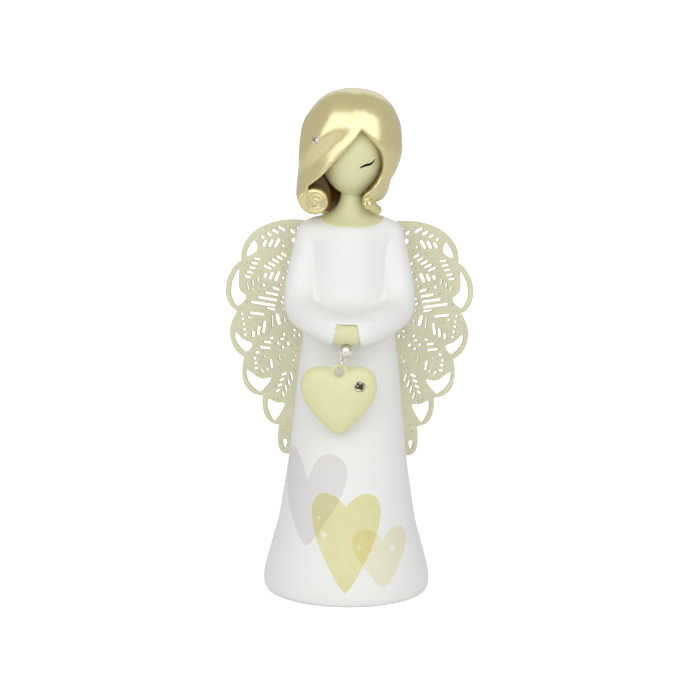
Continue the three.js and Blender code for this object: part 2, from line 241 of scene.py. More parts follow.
def put(name, points, faces, material, crease=None):
    """A mesh piece from points in millimetres and faces. Doubles are merged, faces are turned outwards, and
    the surface is smooth except over edges that turn by more than crease degrees."""
    mesh = bpy.data.meshes.new(name)
    mesh.from_pydata((np.asarray(points) * MM).tolist(), [], [list(face) for face in faces])
    tidy = bmesh.new()
    tidy.from_mesh(mesh)
    bmesh.ops.remove_doubles(tidy, verts=tidy.verts, dist=1e-7)
    bmesh.ops.dissolve_degenerate(tidy, edges=tidy.edges, dist=1e-8)
    bmesh.ops.recalc_face_normals(tidy, faces=tidy.faces)
    if tidy.calc_volume(signed=True) < 0:
        bmesh.ops.reverse_faces(tidy, faces=tidy.faces)
    tidy.to_mesh(mesh)
    tidy.free()
    if not len(mesh.polygons):
        raise RuntimeError(f"{name} has no faces")
    mesh.shade_smooth()
    if crease is not None:
        mesh.set_sharp_from_angle(angle=math.radians(crease))
    mesh.materials.append(material)
    piece = bpy.data.objects.new(name, mesh)
    bpy.context.scene.collection.objects.link(piece)
    return piece


def places(mesh):
    """A mesh's points in millimetres, as an array."""
    place = np.empty(len(mesh.vertices) * 3)
    mesh.vertices.foreach_get("co", place)
    return place.reshape(-1, 3) / MM


def refine(piece, field, low, high, step, cuts=2):
    """Cuts every edge inside a box into shorter ones, and brings the points there onto a finer field."""
    mesh = piece.data

    def held():
        spot = places(mesh)
        return ((spot > low) & (spot < high)).all(axis=1)

    ends = np.empty(len(mesh.edges) * 2, int)
    mesh.edges.foreach_get("vertices", ends)
    chosen = np.flatnonzero(held()[ends.reshape(-1, 2)].all(axis=1))
    work = bmesh.new()
    work.from_mesh(mesh)
    work.edges.ensure_lookup_table()
    edges = [work.edges[index] for index in chosen]
    bmesh.ops.subdivide_edges(work, edges=edges, cuts=cuts, use_grid_fill=True)
    work.to_mesh(mesh)
    work.free()
    spot, mask = places(mesh), held()
    spot[mask] = onto(field, spot[mask], step, 5)
    mesh.vertices.foreach_set("co", (spot * MM).ravel())
    mesh.update()


def carried(path, normals, profile, closed=False):
    """A profile carried along a path: at each path point, its first coordinate is laid along the sideways
    direction, which is the path's direction crossed with the normal, and its second along the normal. The
    profile may be one list of points or one list for each path point. Open ends are closed by a fan."""
    path, normals = np.asarray(path, float), np.broadcast_to(np.asarray(normals, float), np.shape(path))
    if closed:
        heading = np.roll(path, -1, axis=0) - np.roll(path, 1, axis=0)
    else:
        heading = np.gradient(path, axis=0)
    heading /= np.linalg.norm(heading, axis=1, keepdims=True)
    sideways = np.cross(heading, normals)
    profile = np.broadcast_to(profile, (len(path), *np.shape(profile)[-2:]))
    points = path[:, None] + profile[..., :1] * sideways[:, None] + profile[..., 1:] * normals[:, None]
    rows, columns = points.shape[:2]
    faces, points = grid_faces(rows, columns, round_rows=closed).tolist(), points.reshape(-1, 3)
    if not closed:
        last = (rows - 1) * columns
        points = np.concatenate([points, points[:columns].mean(0)[None], points[last:].mean(0)[None]])
        around = np.arange(columns)
        after = (around + 1) % columns
        hub = rows * columns
        faces += np.stack([around, after, np.full(columns, hub)], axis=1).tolist()
        faces += np.stack([last + after, last + around, np.full(columns, hub + 1)], axis=1).tolist()
    return points, faces


def circle(radius, sides):
    """Points round a circle, one for each side."""
    turn = np.arange(sides) * FULL_TURN / sides
    return radius * np.stack([np.cos(turn), np.sin(turn)], axis=1)


def turned(outline, sides):
    """A profile of radius and height turned about the vertical: one ring of points for each profile point."""
    turn = (np.arange(sides) * FULL_TURN / sides)[None, :]
    radius, height = np.asarray(outline, float)[:, 0, None], np.asarray(outline, float)[:, 1, None]
    points = np.stack(np.broadcast_arrays(radius * np.cos(turn), radius * np.sin(turn), height), axis=-1)
    return points.reshape(-1, 3), grid_faces(len(outline), sides)


def settle(piece, body, nodes=()):
    """Puts a piece on its body and hides the CAD nodes that it stands for."""
    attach(piece, body)
    if nodes:
        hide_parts(*nodes)
    return piece


# ---------------------------------------------------------------- finishes


class Finish:
    """A material's node tree around its Principled shader, with short ways to add and link nodes."""

    def __init__(self, name):
        self.material = bpy.data.materials.new(name)
        self.material.use_nodes = True
        self.tree = self.material.node_tree
        self.shader = self.tree.nodes["Principled BSDF"]
        self.place = self.add("ShaderNodeTexCoord").outputs["Object"]

    def feed(self, socket, value):
        if isinstance(value, bpy.types.NodeSocket):
            self.tree.links.new(value, socket)
        else:
            socket.default_value = value

    def add(self, kind, inputs=None, **settings):
        node = self.tree.nodes.new(kind)
        for key, value in settings.items():
            setattr(node, key, value)
        for key, value in (inputs or {}).items():
            self.feed(node.inputs[key], value)
        return node

    def set(self, **inputs):
        for key, value in inputs.items():
            self.feed(self.shader.inputs[key.replace("_", " ").title().replace("Ior", "IOR")], value)

    def maths(self, operation, *values):
        inputs = dict(enumerate(values))
        return self.add("ShaderNodeMath", inputs, operation=operation).outputs[0]

    def noise(self, scale, detail=3.0, place=None):
        inputs = {"Vector": place or self.place, "Scale": scale, "Detail": detail}
        return self.add("ShaderNodeTexNoise", inputs).outputs["Fac"]

    def between(self, value, low, high, least=0.0, most=1.0):
        inputs = {"Value": value, "From Min": low, "From Max": high, "To Min": least, "To Max": most}
        return self.add("ShaderNodeMapRange", inputs).outputs["Result"]

    def mix(self, share, first, second, blend_type="MIX"):
        inputs = {0: share, 6: first, 7: second}
        return self.add("ShaderNodeMix", inputs, data_type="RGBA", blend_type=blend_type).outputs[2]

    def curve(self, value, points):
        node = self.add("ShaderNodeFloatCurve", {"Value": value})
        line = node.mapping.curves[0]
        for point in points[1:-1]:
            line.points.new(*point)
        line.points[0].location, line.points[-1].location = points[0], points[-1]
        node.mapping.update()
        return node.outputs[0]

    def bump(self, height, depth, strength=1.0):
        inputs = {"Height": height, "Distance": depth * MM, "Strength": strength}
        self.feed(self.shader.inputs["Normal"], self.add("ShaderNodeBump", inputs).outputs[0])


def shade(colour, factor):
    """A colour with its brightness multiplied, as RGBA."""
    return (*(min(1.0, channel * factor) for channel in colour[:3]), 1.0)


def painted(name, colour, roughness, variation=0.05, peel=0.02, metallic=0.0, coat=0.0):
    """Sprayed paint on a casting. Broad noise shifts the tint and the gloss, and fine noise is the paint's
    orange peel."""
    finish = Finish(name)
    cloudy = finish.between(finish.noise(60, 4), 0.3, 0.7)
    base = finish.mix(cloudy, shade(colour, 1 - variation), shade(colour, 1 + variation * 0.5))
    gloss = finish.between(finish.noise(220, 3), 0.3, 0.7, roughness * 0.88, roughness * 1.12)
    finish.set(base_color=base, roughness=gloss, metallic=metallic, coat_weight=coat)
    finish.set(coat_roughness=0.25)
    finish.bump(finish.noise(900, 2), peel)
    return finish, base


HEART_SIDE = [
    (0, 0), (0.074, 0.175), (0.2, 0.385), (0.326, 0.57), (0.463, 0.755), (0.6, 0.895), (0.7, 0.965), (0.8, 1),
    (1, 1),
]
HEART_TOP = [
    (0, 0.853), (0.1, 0.905), (0.235, 0.955), (0.39, 0.986), (0.54, 1), (0.69, 0.99), (0.85, 0.955),
    (0.95, 0.89), (1, 0.8),
]
LOBE_MIDDLE = 0.54


def printed_heart(finish, along, height, heart):
    """How much of a printed heart covers each point, from 0 to 1. Along and height are millimetres on the
    skirt's surface. The heart is where the point is nearer the axis than the side curve at its height, and
    lower than the top curve at its distance from the axis."""
    centre, tip, half_width, tall, notch, lean = heart
    up = finish.maths("SUBTRACT", height, tip)
    straight = finish.maths("SUBTRACT", along, centre)
    off_axis = finish.maths("SUBTRACT", straight, finish.maths("MULTIPLY", up, lean))
    away = finish.maths("DIVIDE", finish.maths("ABSOLUTE", off_axis), half_width)
    share = finish.maths("DIVIDE", up, tall)
    deeper = (1 - notch) / (1 - HEART_TOP[0][1])
    top = [(a, 1 - (1 - b) * (deeper if a < LOBE_MIDDLE else 1)) for a, b in HEART_TOP]
    beside = finish.maths("SUBTRACT", finish.curve(share, HEART_SIDE), away)
    below = finish.maths("SUBTRACT", finish.curve(away, top), share)
    room = finish.maths("MINIMUM", beside, finish.maths("MULTIPLY", below, tall / half_width))
    above_tip = finish.maths("MINIMUM", room, share)
    return finish.between(above_tip, -0.004, 0.012)


def gown_finish(looks):
    """White paint with three printed hearts that show through each other, and small soft painted glints on
    them: bright stars that stand in for glints of light.
    """
    finish, base = painted("gown_paint", looks.gown, looks.gown_roughness, 0.018, 0.012, coat=0.12)
    parts = finish.add("ShaderNodeSeparateXYZ", {"Vector": finish.place}).outputs
    x, y, z = (finish.maths("DIVIDE", part, MM) for part in parts)
    toward = finish.maths("MULTIPLY", y, -1.0)
    squares = [finish.maths("MULTIPLY", part, part) for part in (x, y)]
    out = finish.maths("SQRT", finish.maths("ADD", *squares))
    along = finish.maths("MULTIPLY", finish.maths("ARCTAN2", x, toward), out)
    colour = base
    for tint, heart in ((looks.mauve, MAUVE_HEART), (looks.peach, PEACH_HEART), (looks.yellow, YELLOW_HEART)):
        cover = printed_heart(finish, along, z, heart)
        dusty = finish.between(finish.noise(500, 2), 0.3, 0.7, 0.86, 1.0)
        colour = finish.mix(finish.maths("MULTIPLY", cover, dusty), colour, (*tint, 1), "MULTIPLY")
    flat = finish.add("ShaderNodeCombineXYZ", {"X": along, "Y": z, "Z": 0.0}).outputs[0]
    # Painted glints: each is a soft bright star, lighter than the paint, mixed into the colour in place of a
    # glint of light.
    for a, b, size, strength in PAINTED_GLINTS:
        star = finish.add("ShaderNodeVectorMath", {0: flat, 1: (a, b, 0)}, operation="SUBTRACT").outputs[0]
        arms = finish.add("ShaderNodeSeparateXYZ", {"Vector": star}).outputs
        spread = [finish.maths("POWER", finish.maths("ABSOLUTE", arm), 0.75) for arm in arms[:2]]
        glow = finish.between(finish.maths("ADD", *spread), 0.2, size ** 0.75 * 1.25, strength, 0.0)
        colour = finish.mix(glow, colour, shade(looks.gown, 1.05))
    finish.set(base_color=colour)
    return finish.material


# Each printed heart: axis and tip on the skirt, half width, height, height of the notch as a share, and lean.
MAUVE_HEART = (-13.1, 17.4, 13.2, 28.5, 0.68, 0.0)
PEACH_HEART = (11.9, 5.6, 9.9, 17.7, 0.80, -0.03)
YELLOW_HEART = (-0.3, 4.6, 11.1, 29.5, 0.865, 0.0)
# Each painted glint on the skirt, a small bright star standing in for a glint of light: place along and up
# the surface, reach of its arms, and strength.
PAINTED_GLINTS = [
    (-7.0, 21.5, 1.7, 0.85), (15.3, 17.0, 1.9, 0.75), (-8.7, 26.4, 0.8, 0.7), (3.8, 18.3, 0.9, 0.5),
    (-19.4, 41.0, 1.0, 0.6), (-18.0, 38.3, 0.9, 0.5),
]


def hair_finish(looks):
    """Pearl gold paint outside, and a dark brown painted shade on the casting's inner wall, where it lies in
    shadow.
    """
    finish, base = painted("hair_paint", looks.hair, looks.hair_roughness, 0.04, 0.006, looks.pearl, coat=1.0)
    # Painted shade: where the inner attribute is high, the paint turns dark brown and loses its pearl and
    # coat.
    inner = finish.add("ShaderNodeAttribute", attribute_name="inner").outputs["Fac"]
    cloudy = finish.between(finish.noise(300, 3), 0.3, 0.7)
    brown = finish.mix(cloudy, (0.15, 0.07, 0.012, 1), (0.21, 0.105, 0.02, 1))
    finish.set(base_color=finish.mix(inner, base, brown))
    finish.set(metallic=finish.between(inner, 0.0, 1.0, looks.pearl, 0.0))
    finish.set(coat_weight=finish.between(inner, 0.0, 1.0, 1.0, 0.0), coat_ior=3.3, coat_roughness=0.24)
    return finish.material


def metal_finish(name, colour, roughness, wear=0.03):
    """Polished plate: fine scratches and handling marks in the gloss, and a faint tarnish in the tint."""
    finish = Finish(name)
    tarnish = finish.between(finish.noise(500, 4), 0.35, 0.75)
    base = finish.mix(tarnish, shade(colour, 1.0), shade(colour, 0.86))
    stretch = finish.add("ShaderNodeMapping", {"Vector": finish.place, "Scale": (1, 1, 7)}).outputs[0]
    gloss = finish.between(finish.noise(1500, 3, stretch), 0.3, 0.7, roughness, roughness + wear)
    finish.set(base_color=base, roughness=gloss, metallic=1.0)
    finish.bump(finish.noise(2500, 2), 0.002)
    return finish.material


def stone_finish():
    """Cut stone over foil: each facet's colour is a painted reflection, from near black to pale champagne,
    set by its own value in the facet attribute, under a hard clear face."""
    finish = Finish("cut_stone")
    facet = finish.add("ShaderNodeAttribute", attribute_name="facet").outputs["Fac"]
    flaws = finish.between(finish.noise(1800, 2), 0.35, 0.65, 0.9, 1.1)
    # Painted reflections: the facet's value picks a colour from near black to pale champagne.
    depth = finish.maths("MULTIPLY", facet, flaws)
    dark = finish.mix(finish.between(depth, 0.0, 0.5), (0.012, 0.008, 0.003, 1), (0.33, 0.27, 0.14, 1))
    base = finish.mix(finish.between(depth, 0.5, 1.0), dark, (0.96, 0.92, 0.76, 1))
    gloss = finish.between(finish.noise(2600, 2), 0.3, 0.7, 0.02, 0.07)
    finish.set(base_color=base, roughness=gloss, metallic=0.55, coat_weight=1.0, coat_roughness=0.02)
    return finish.material


def wing_finish(looks):
    """Cream powder coat on cut sheet, with a fine grain."""
    finish, base = painted("wing_paint", looks.wing, 0.55, 0.07, 0.02)
    speck = finish.between(finish.noise(1400, 2), 0.62, 0.75)
    finish.set(base_color=finish.mix(speck, base, shade(looks.wing, 0.8)))
    finish.bump(finish.noise(1600, 3), 0.03)
    return finish.material


# ---------------------------------------------------------------- gown, neck and hands

GOWN_OUTLINE = [
    (0, 25.2), (3.4, 25.7), (8.2, 24.9), (15, 23.1), (22, 21.2), (30, 19.9), (41.5, 18.2), (55, 16.8),
    (68.5, 15.5), (81, 13.9), (90, 12.6), (100, 12.2), (108, 12.0), (116, 11.0), (125, 9.0),
]
SKIRT_DEPTH, CHEST_DEPTH = 0.97, 0.76
ARM = [
    (11.6, 0.3, 110.6, 4.7), (13.6, -0.6, 101.5, 4.8), (14.95, -2.6, 94, 4.8), (14.5, -7, 88.7, 4.75),
    (10.3, -13.6, 86.2, 4.65), (5.0, -18.6, 84.4, 4.5), (0.6, -20.3, 83.8, 4.5),
]
YOKE_HALF, YOKE_BACK, YOKE_HEIGHT, YOKE_RADIUS = 9.6, 0.3, 110.8, 5.3
NECK_MIDDLE, NECK_RADIUS, NECK_FLARE = 0.4, 3.1, 9.0
NECK_TOP = 127.0
NECKLINE_CENTRE, NECKLINE_HALF = (0.6, -1.0, 118.0), (9.9, 8.4, 7.6)
SKIN_STEP = 0.1
LAP_CENTRE, LAP_SIZE = (0, -9.5, 86.3), (12, 10, 3.9)
CUFF_LOW, CUFF_HIGH = 79.5, 88.5
CUFFS_AT_LOW, CUFFS_AT_HIGH = (-4.9, 3.6), (-3.3, 2.1)
HANDS_MIDDLE = (-0.7, -20.45, 83.8)
FACE_CENTRE, FACE_SIZE = (0.6, -1.2, 135.0), (9.9, 9.8, 12.25)
LASH = [(2.6, 132.0), (4.1, 132.75), (5.6, 133.1), (6.5, 133.65), (7.2, 134.6)]


def body_field(x, y, z):
    """Gown and shoulders as one field. The skirt and chest are round in plan with a half width that follows a
    spline of the height, flatter from front to back higher up. A rod across the shoulders, the arms as rods
    along a spline, and a mound between the forearms are joined to it with fillets."""
    heights, widths = np.array(GOWN_OUTLINE).T
    knots = spline(np.stack([heights, widths], axis=1), 8)
    width = np.interp(z, knots[:, 0], knots[:, 1])
    depth = SKIRT_DEPTH + (CHEST_DEPTH - SKIRT_DEPTH) * ease(30, 115, z)
    field = np.sqrt(x * x + (y / depth) ** 2) - width
    field = trim(field, z - 113.6, 4.0)
    high = z > 72
    hx, hy, hz = x[high], y[high], z[high]
    ends = ((-YOKE_HALF, YOKE_BACK, YOKE_HEIGHT), (YOKE_HALF, YOKE_BACK, YOKE_HEIGHT))
    upper = weld(field[high], rod(hx, hy, hz, *ends, YOKE_RADIUS, YOKE_RADIUS), 3.0)
    upper = weld(upper, ellipsoid(hx, hy, hz, LAP_CENTRE, LAP_SIZE), 6.0)
    side = np.abs(hx)
    sleeve = np.full(side.shape, np.inf)
    points = spline(ARM, 5)
    for start, end in zip(points[:-1], points[1:]):
        sleeve = np.minimum(sleeve, rod(side, hy, hz, start[:3], end[:3], start[3], end[3]))
    sleeve = trim(sleeve, -cuff_gap(hx, hy, hz), 0.35)
    field[high] = weld(upper, sleeve, 0.5 + 2.5 * ease(96, 87, hz) * ease(84, 88, hz))
    return trim(field, -z, 1.6)


def cuff_gap(x, y, z):
    """The wedge between the two cuffs: below zero between two slanting walls in front of the lap."""
    rise = (z - CUFF_LOW) / (CUFF_HIGH - CUFF_LOW)
    left = CUFFS_AT_LOW[0] + (CUFFS_AT_HIGH[0] - CUFFS_AT_LOW[0]) * rise
    right = CUFFS_AT_LOW[1] + (CUFFS_AT_HIGH[1] - CUFFS_AT_LOW[1]) * rise
    walls = np.maximum(left - x, x - right)
    return np.maximum(np.maximum(walls, y + 14.5), z - 86.9)


def neck_field(x, y, z):
    """The body with the neck standing on it, flared into the shoulders by a wide fillet."""
    column = np.maximum(np.hypot(x - NECK_MIDDLE, y) - NECK_RADIUS, 104 - z)
    return weld(body_field(x, y, z), column, NECK_FLARE)


def neckline(x, y, z):
    """About the distance from the neckline, below zero inside it: the neckline is where an upright bowl with
    an oval plan meets the shoulders, so that it dips in front."""
    (cx, cy, cz), (hx, hy, hz) = NECKLINE_CENTRE, NECKLINE_HALF
    gauge = np.sqrt(((x - cx) / hx) ** 2 + ((y - cy) / hy) ** 2 + (np.minimum(z - cz, 0) / hz) ** 2)
    return (gauge - 1) * hy


def build_gown(looks):
    """The casting of gown, sleeves and shoulders, with a shallow seat under the neck."""
    low, high = span("gown")

    def field(x, y, z):
        seat = np.minimum(neckline(x, y, z) + 0.5, 117 - z)
        return trim(neck_field(x, y, z), -seat, 0.3)

    points, faces = skin(field, low, high + (0, 0, 3), 0.6)
    piece = put("gown_casting", points, faces, gown_finish(looks))
    return settle(piece, "root", ["gown"])


def build_neck(paint):
    """Neck and bare shoulders: the same surface a little proud of the gown, inside the neckline."""

    def field(x, y, z):
        proud = neck_field(x, y, z) - SKIN_STEP
        return trim(trim(proud, neckline(x, y, z), 0.25), z - NECK_TOP, 0.5)

    middle, reach = np.array(NECKLINE_CENTRE), np.array(NECKLINE_HALF) + 1
    points, faces = skin(field, middle - reach, middle + (*reach[:2], NECK_TOP - middle[2]), 0.4)
    return settle(put("neck_and_shoulders", points, faces, paint), "root")


def build_head(paint):
    """Face as an egg: an ellipsoid whose width and depth shrink toward the chin by a share of the height, on
    a grid of the angle from the top and the angle around."""
    centre, size = np.array(FACE_CENTRE), np.array(FACE_SIZE)
    down = np.linspace(0, math.pi, 90)[:, None]
    around = (np.arange(128) * FULL_TURN / 128)[None, :]
    taper = 1 + 0.05 * np.cos(down) - 0.02 * np.cos(2 * down)
    points = np.stack(np.broadcast_arrays(
        size[0] * np.sin(down) * taper * np.cos(around),
        size[1] * np.sin(down) * taper * np.sin(around),
        size[2] * np.cos(down),
    ), axis=-1) + centre
    piece = put("face_egg", points.reshape(-1, 3), grid_faces(90, 128), paint)
    return settle(piece, "root", ["head"])


def face_front(x, z):
    """How far forward the face's surface lies at a place in its front view."""
    (cx, cy, cz), (sx, sy, sz) = FACE_CENTRE, FACE_SIZE
    cosine = np.clip((z - cz) / sz, -1, 1)
    taper = 1 + 0.05 * cosine - 0.02 * (2 * cosine ** 2 - 1)
    sine = np.sqrt(1 - cosine ** 2) * taper
    return cy - sy * np.sqrt(np.clip(sine ** 2 - ((x - cx) / sx) ** 2, 0, None))


def build_lash(paint):
    """Closed eyelid: a thin brush stroke, an oval carried along a curve on the face, thickest at a third."""
    line = spline(LASH, 12)
    x, z = line.T
    path = np.stack([x, face_front(x, z), z], axis=1)
    normal = (path - FACE_CENTRE) / np.array(FACE_SIZE) ** 2
    normal /= np.linalg.norm(normal, axis=1, keepdims=True)
    share = np.linspace(0, 1, len(path))[:, None, None]
    width = 0.07 + 0.33 * np.sin(math.pi * share ** 0.75) ** 0.8
    oval = circle(1.0, 12)[None] * np.concatenate([width, np.full_like(width, 0.07)], axis=2)
    points, faces = carried(path, normal, oval)
    return settle(put("eyelash", points, faces, paint), "root")


def build_hands(paint):
    """Clasped hands between the cuffs: two fists as balls on a bar, joined with a fillet that leaves a crease
    between them."""
    low, high = span("hands")
    middle = np.array(HANDS_MIDDLE)

    def field(x, y, z):
        left = rod(x, y, z, middle + (-6.5, 2.6, 0.4), middle + (-1.7, -0.15, 0), 3.5, 3.55)
        right = rod(x, y, z, middle + (6.5, 2.6, 0.4), middle + (1.7, -0.15, 0), 3.5, 3.55)
        both = weld(left, right, 0.55)
        return trim(both, np.abs(x - middle[0]) - 5.2, 0.5)

    points, faces = skin(field, low - (2, 1, 0.5), high + (2, 3, 0.5), 0.22)
    return settle(put("clasped_hands", points, faces, paint), "root", ["hands"])


# ---------------------------------------------------------------- hair

HAIR_MIDDLE = (0.0, 0.3, 135.0)
HAIR_DEPTH = 14.0
HAIR_OUTLINE = [
    (15.35, 139.4), (14.9, 144), (13.4, 148), (10.9, 151.4), (7, 153.9), (0.6, 155), (-5.6, 154.0),
    (-9.5, 151.6), (-12.6, 148), (-14.4, 144.2), (-15.2, 139.2), (-15.5, 134.7), (-16, 130.1), (-16.4, 126),
    (-16.5, 123.4), (-15.6, 120.6), (-13.1, 118.3), (-9, 117), (-4, 116.9), (1, 117.8), (5, 119.6),
    (8.9, 121.2), (10.5, 122.6), (11.6, 125), (12.1, 127.4), (13.7, 130.4), (14.9, 133.7), (15.45, 136.6),
]
FRINGE = [(3.1, 143.3), (0.2, 139.4), (-3.3, 135.6), (-6.2, 132.4), (-8.6, 129.7), (-12.6, 126.3)]
RIGHT_EDGE = [(3.9, 116), (3.6, 122.9), (6.4, 125.2), (8.7, 128.2), (10.0, 132), (9.2, 136.5), (6.3, 140.4)]
CURL_SIDE = [(-12.9, 124), (-11, 116)]
PARTING = [(3.1, 143.3), (1.9, 147), (1.4, 150), (1.3, 154)]
# The left curl: its rim by angle about its middle, and the line between its turns by angle about its eye.
CURL_MIDDLE, CURL_EYE = (-10.9, 121.5), (-10.7, 121.1)
CURL_FRONT, CURL_BACK = -10.0, -2.5
CURL_RIM = [
    (0, 4.2), (45, 4.2), (90, 4.15), (112, 4.3), (132, 4.5), (150, 5.1), (163, 5.3), (178, 4.8), (195, 4.4),
    (234, 3.8), (277, 4.15), (320, 4.2), (360, 4.2),
]
CURL_LINE = [
    (104, 5.6), (116, 4.5), (140, 3.2), (160, 2.55), (180, 2.25), (225, 2.0), (270, 2.0), (315, 2.5),
    (360, 2.95), (405, 3.1), (450, 3.1), (495, 2.5), (540, 1.6), (585, 1.3), (630, 1.3), (675, 1.5),
    (720, 1.75), (765, 1.8), (810, 1.7), (855, 1.35), (900, 0.95), (945, 0.75), (990, 0.7), (1080, 0.8),
    (1170, 0.65), (1260, 0.35),
]
ROLL_START, ROLL_END, ROLL_RADIUS = (5.4, -8.0, 121.0), (8.0, -4.2, 118.8), 1.7
LEFT_CURL_BOX = ((-18, -14, 115.5), (-5.5, -7.5, 126.5))
RIGHT_CURL_BOX = ((3.4, -13, 116), (10.5, -1.5, 123))


def hair_shapes():
    """The functions that the hair's field reads: how far out its outline lies, and the distances to the face
    opening, to the fringe's edge and to the parting."""
    box = ((-22.0, 112.0), (22.0, 160.0))
    opening = np.concatenate([spline(FRINGE, 8), spline(CURL_SIDE, 2), spline(RIGHT_EDGE, 8)[:-1]])
    fringe = np.concatenate([spline(FRINGE, 8), [(-24, 117), (-24, 170), (3.1, 170)]])
    parting = np.concatenate([spline(PARTING, 6), [(1.3, 170), (60, 170), (60, 100), (3.1, 100)]])
    return (
        turning_radius(spline(HAIR_OUTLINE, 12, closed=True), (HAIR_MIDDLE[0], HAIR_MIDDLE[2]), 2),
        outline_distance(opening, *box),
        outline_distance(fringe, *box),
        outline_distance(parting, *box),
    )


def curl_field(x, y, z, carved):
    """The left curl as a round block whose rim follows the curl's own outline. When carved, its front face
    steps back at each turn of the line that winds into its eye, and the line is cut as a groove."""
    turn = np.degrees(np.arctan2(z - CURL_MIDDLE[1], x - CURL_MIDDLE[0])) % 360
    plan = np.hypot(x - CURL_MIDDLE[0], z - CURL_MIDDLE[1]) - np.interp(turn, *zip(*CURL_RIM))
    out = np.hypot(x - CURL_EYE[0], z - CURL_EYE[1])
    turn = np.degrees(np.arctan2(z - CURL_EYE[1], x - CURL_EYE[0])) % 360
    front = np.full(np.shape(x), CURL_FRONT + (0.0 if carved else 0.5))
    for lap in range(4 if carved else 0):
        line = np.interp(turn + 360 * lap, *zip(*CURL_LINE), left=0, right=0)
        front = front + 0.42 * ease(-0.05, 0.25, line - out) * (0.7 ** lap)
        front = front + 0.75 * np.exp(-((out - line) / 0.19) ** 2) * (line > 0)
    block = trim(plan, front - y, 1.3)
    return trim(block, y - CURL_BACK, 1.0)


def hair_fields(shapes):
    """The outer surface and the cavity of the hair, as two fields."""
    reach, opening, fringe, parting = shapes
    mx, my, mz = HAIR_MIDDLE

    def outer(x, y, z, carved=False):
        """A cushion of the outline: the outline's gauge and the depth's gauge joined as a superellipse. In
        front it is hollowed along the parting, and hollowed and swelled along the fringe's edge."""
        flat = np.hypot(x - mx, z - mz) / reach(np.arctan2(z - mz, x - mx))
        depth = HAIR_DEPTH - 2.0 * ease(131, 119, z) * ease(-9, -3, x)
        depth = depth - 1.2 * ease(3, 10, x) * ease(139, 130, z)
        full = 2.6 + 0.1 * ease(137, 124, z)
        gauge = (flat ** full + (np.abs(y - my) / depth) ** full) ** (1 / full)
        field = (gauge - 1) * 14.5
        front = ease(2.0, -5.0, y)
        seam_depth = 0.34 * ease(153.0, 144.0, z) * ease(139.0, 144.0, z)
        field = field + front * seam_depth * np.exp(-(parting(x, z) / 2.4) ** 2)
        into = -fringe(x, z)
        run = ease(3.5, -9.0, x)
        channel_at, channel_wide = 1.5 + 2.8 * run, 1.2 + 1.6 * run
        channel = (0.35 + 0.4 * run) * np.exp(-((into - channel_at) / channel_wide) ** 2)
        swell = 0.6 * run * np.exp(-((into - 8.0) / 3.6) ** 2)
        on_left = ease(-1.0, 1.0, into) * ease(122.0, 128.0, z)
        field = field + front * on_left * (channel - swell)
        field = weld(field, curl_field(x, y, z, carved), 1.2)
        roll = rod(x, y, z, ROLL_START, ROLL_END, ROLL_RADIUS, ROLL_RADIUS - 0.2)
        if carved:
            away = np.sqrt(sum((v - c) ** 2 for v, c in zip((x, y, z), (4.5, -9.6, 121.4))))
            roll = trim(roll, 0.75 - away, 0.25)
        return weld(field, roll, 0.9)

    def cavity(x, y, z):
        """Room for the face, the neck and the opening in front of them. On the right the opening's wall
        leans in toward the face."""
        centre, size = FACE_CENTRE, FACE_SIZE
        room = ellipsoid(x, y, z, centre, tuple(s + 0.25 for s in size))
        throat = np.maximum(np.hypot(x - NECK_MIDDLE + 0.6, y * 0.95) - 5.6, z - 130)
        lean = 0.24 * ease(3.0, 7.0, x) * (y + 11.5)
        front = np.maximum(opening(x, z) + lean, y + 1.5)
        return weld(weld(room, front, 0.3), throat, 2.0)

    return outer, cavity


def build_hair(looks):
    """The hair's casting: its outer cushion less the cavity, with rounded lips, and with finer points over
    the two curls. Gives back the outer field, which the hair's stone is seated on."""
    outer, cavity = hair_fields(hair_shapes())
    low, high = span("hair")

    def plain(x, y, z):
        return trim(outer(x, y, z), -trim(cavity(x, y, z), -curl_field(x, y, z, False), 0.5), 0.9)

    def carved(x, y, z):
        return trim(outer(x, y, z, True), -trim(cavity(x, y, z), -curl_field(x, y, z, True), 0.5), 0.9)

    points, faces = skin(plain, low - 1, high + 1, 0.42)
    piece = put("hair_casting", points, faces, hair_finish(looks))
    refine(piece, carved, *LEFT_CURL_BOX, 0.14)
    refine(piece, carved, *RIGHT_CURL_BOX, 0.2, 1)
    x, y, z = places(piece.data).T
    # Painted shade: the inner attribute is 1 on the cavity wall deep in the recess, and fades out toward the
    # front and above the face.
    on_wall = ease(0.6, 0.15, np.abs(cavity(x, y, z))) * ease(-0.3, -0.8, outer(x, y, z))
    deep = on_wall * ease(-10.8, -7.8, y) * ease(141.0, 137.0, z)
    attribute = piece.data.attributes.new("inner", "FLOAT", "POINT")
    attribute.data.foreach_set("value", deep.astype(np.float32))
    settle(piece, "root", ["hair"])
    return outer


# ---------------------------------------------------------------- stones


STONE_SUNK, STONE_HEIGHT = 0.1, 0.7  # how deep its back lies, and its height as a share of its radius
STONE_TOWARD = {"root": (-0.6, -0.78, 0.12), "heart": (0, -1.0, 0)}


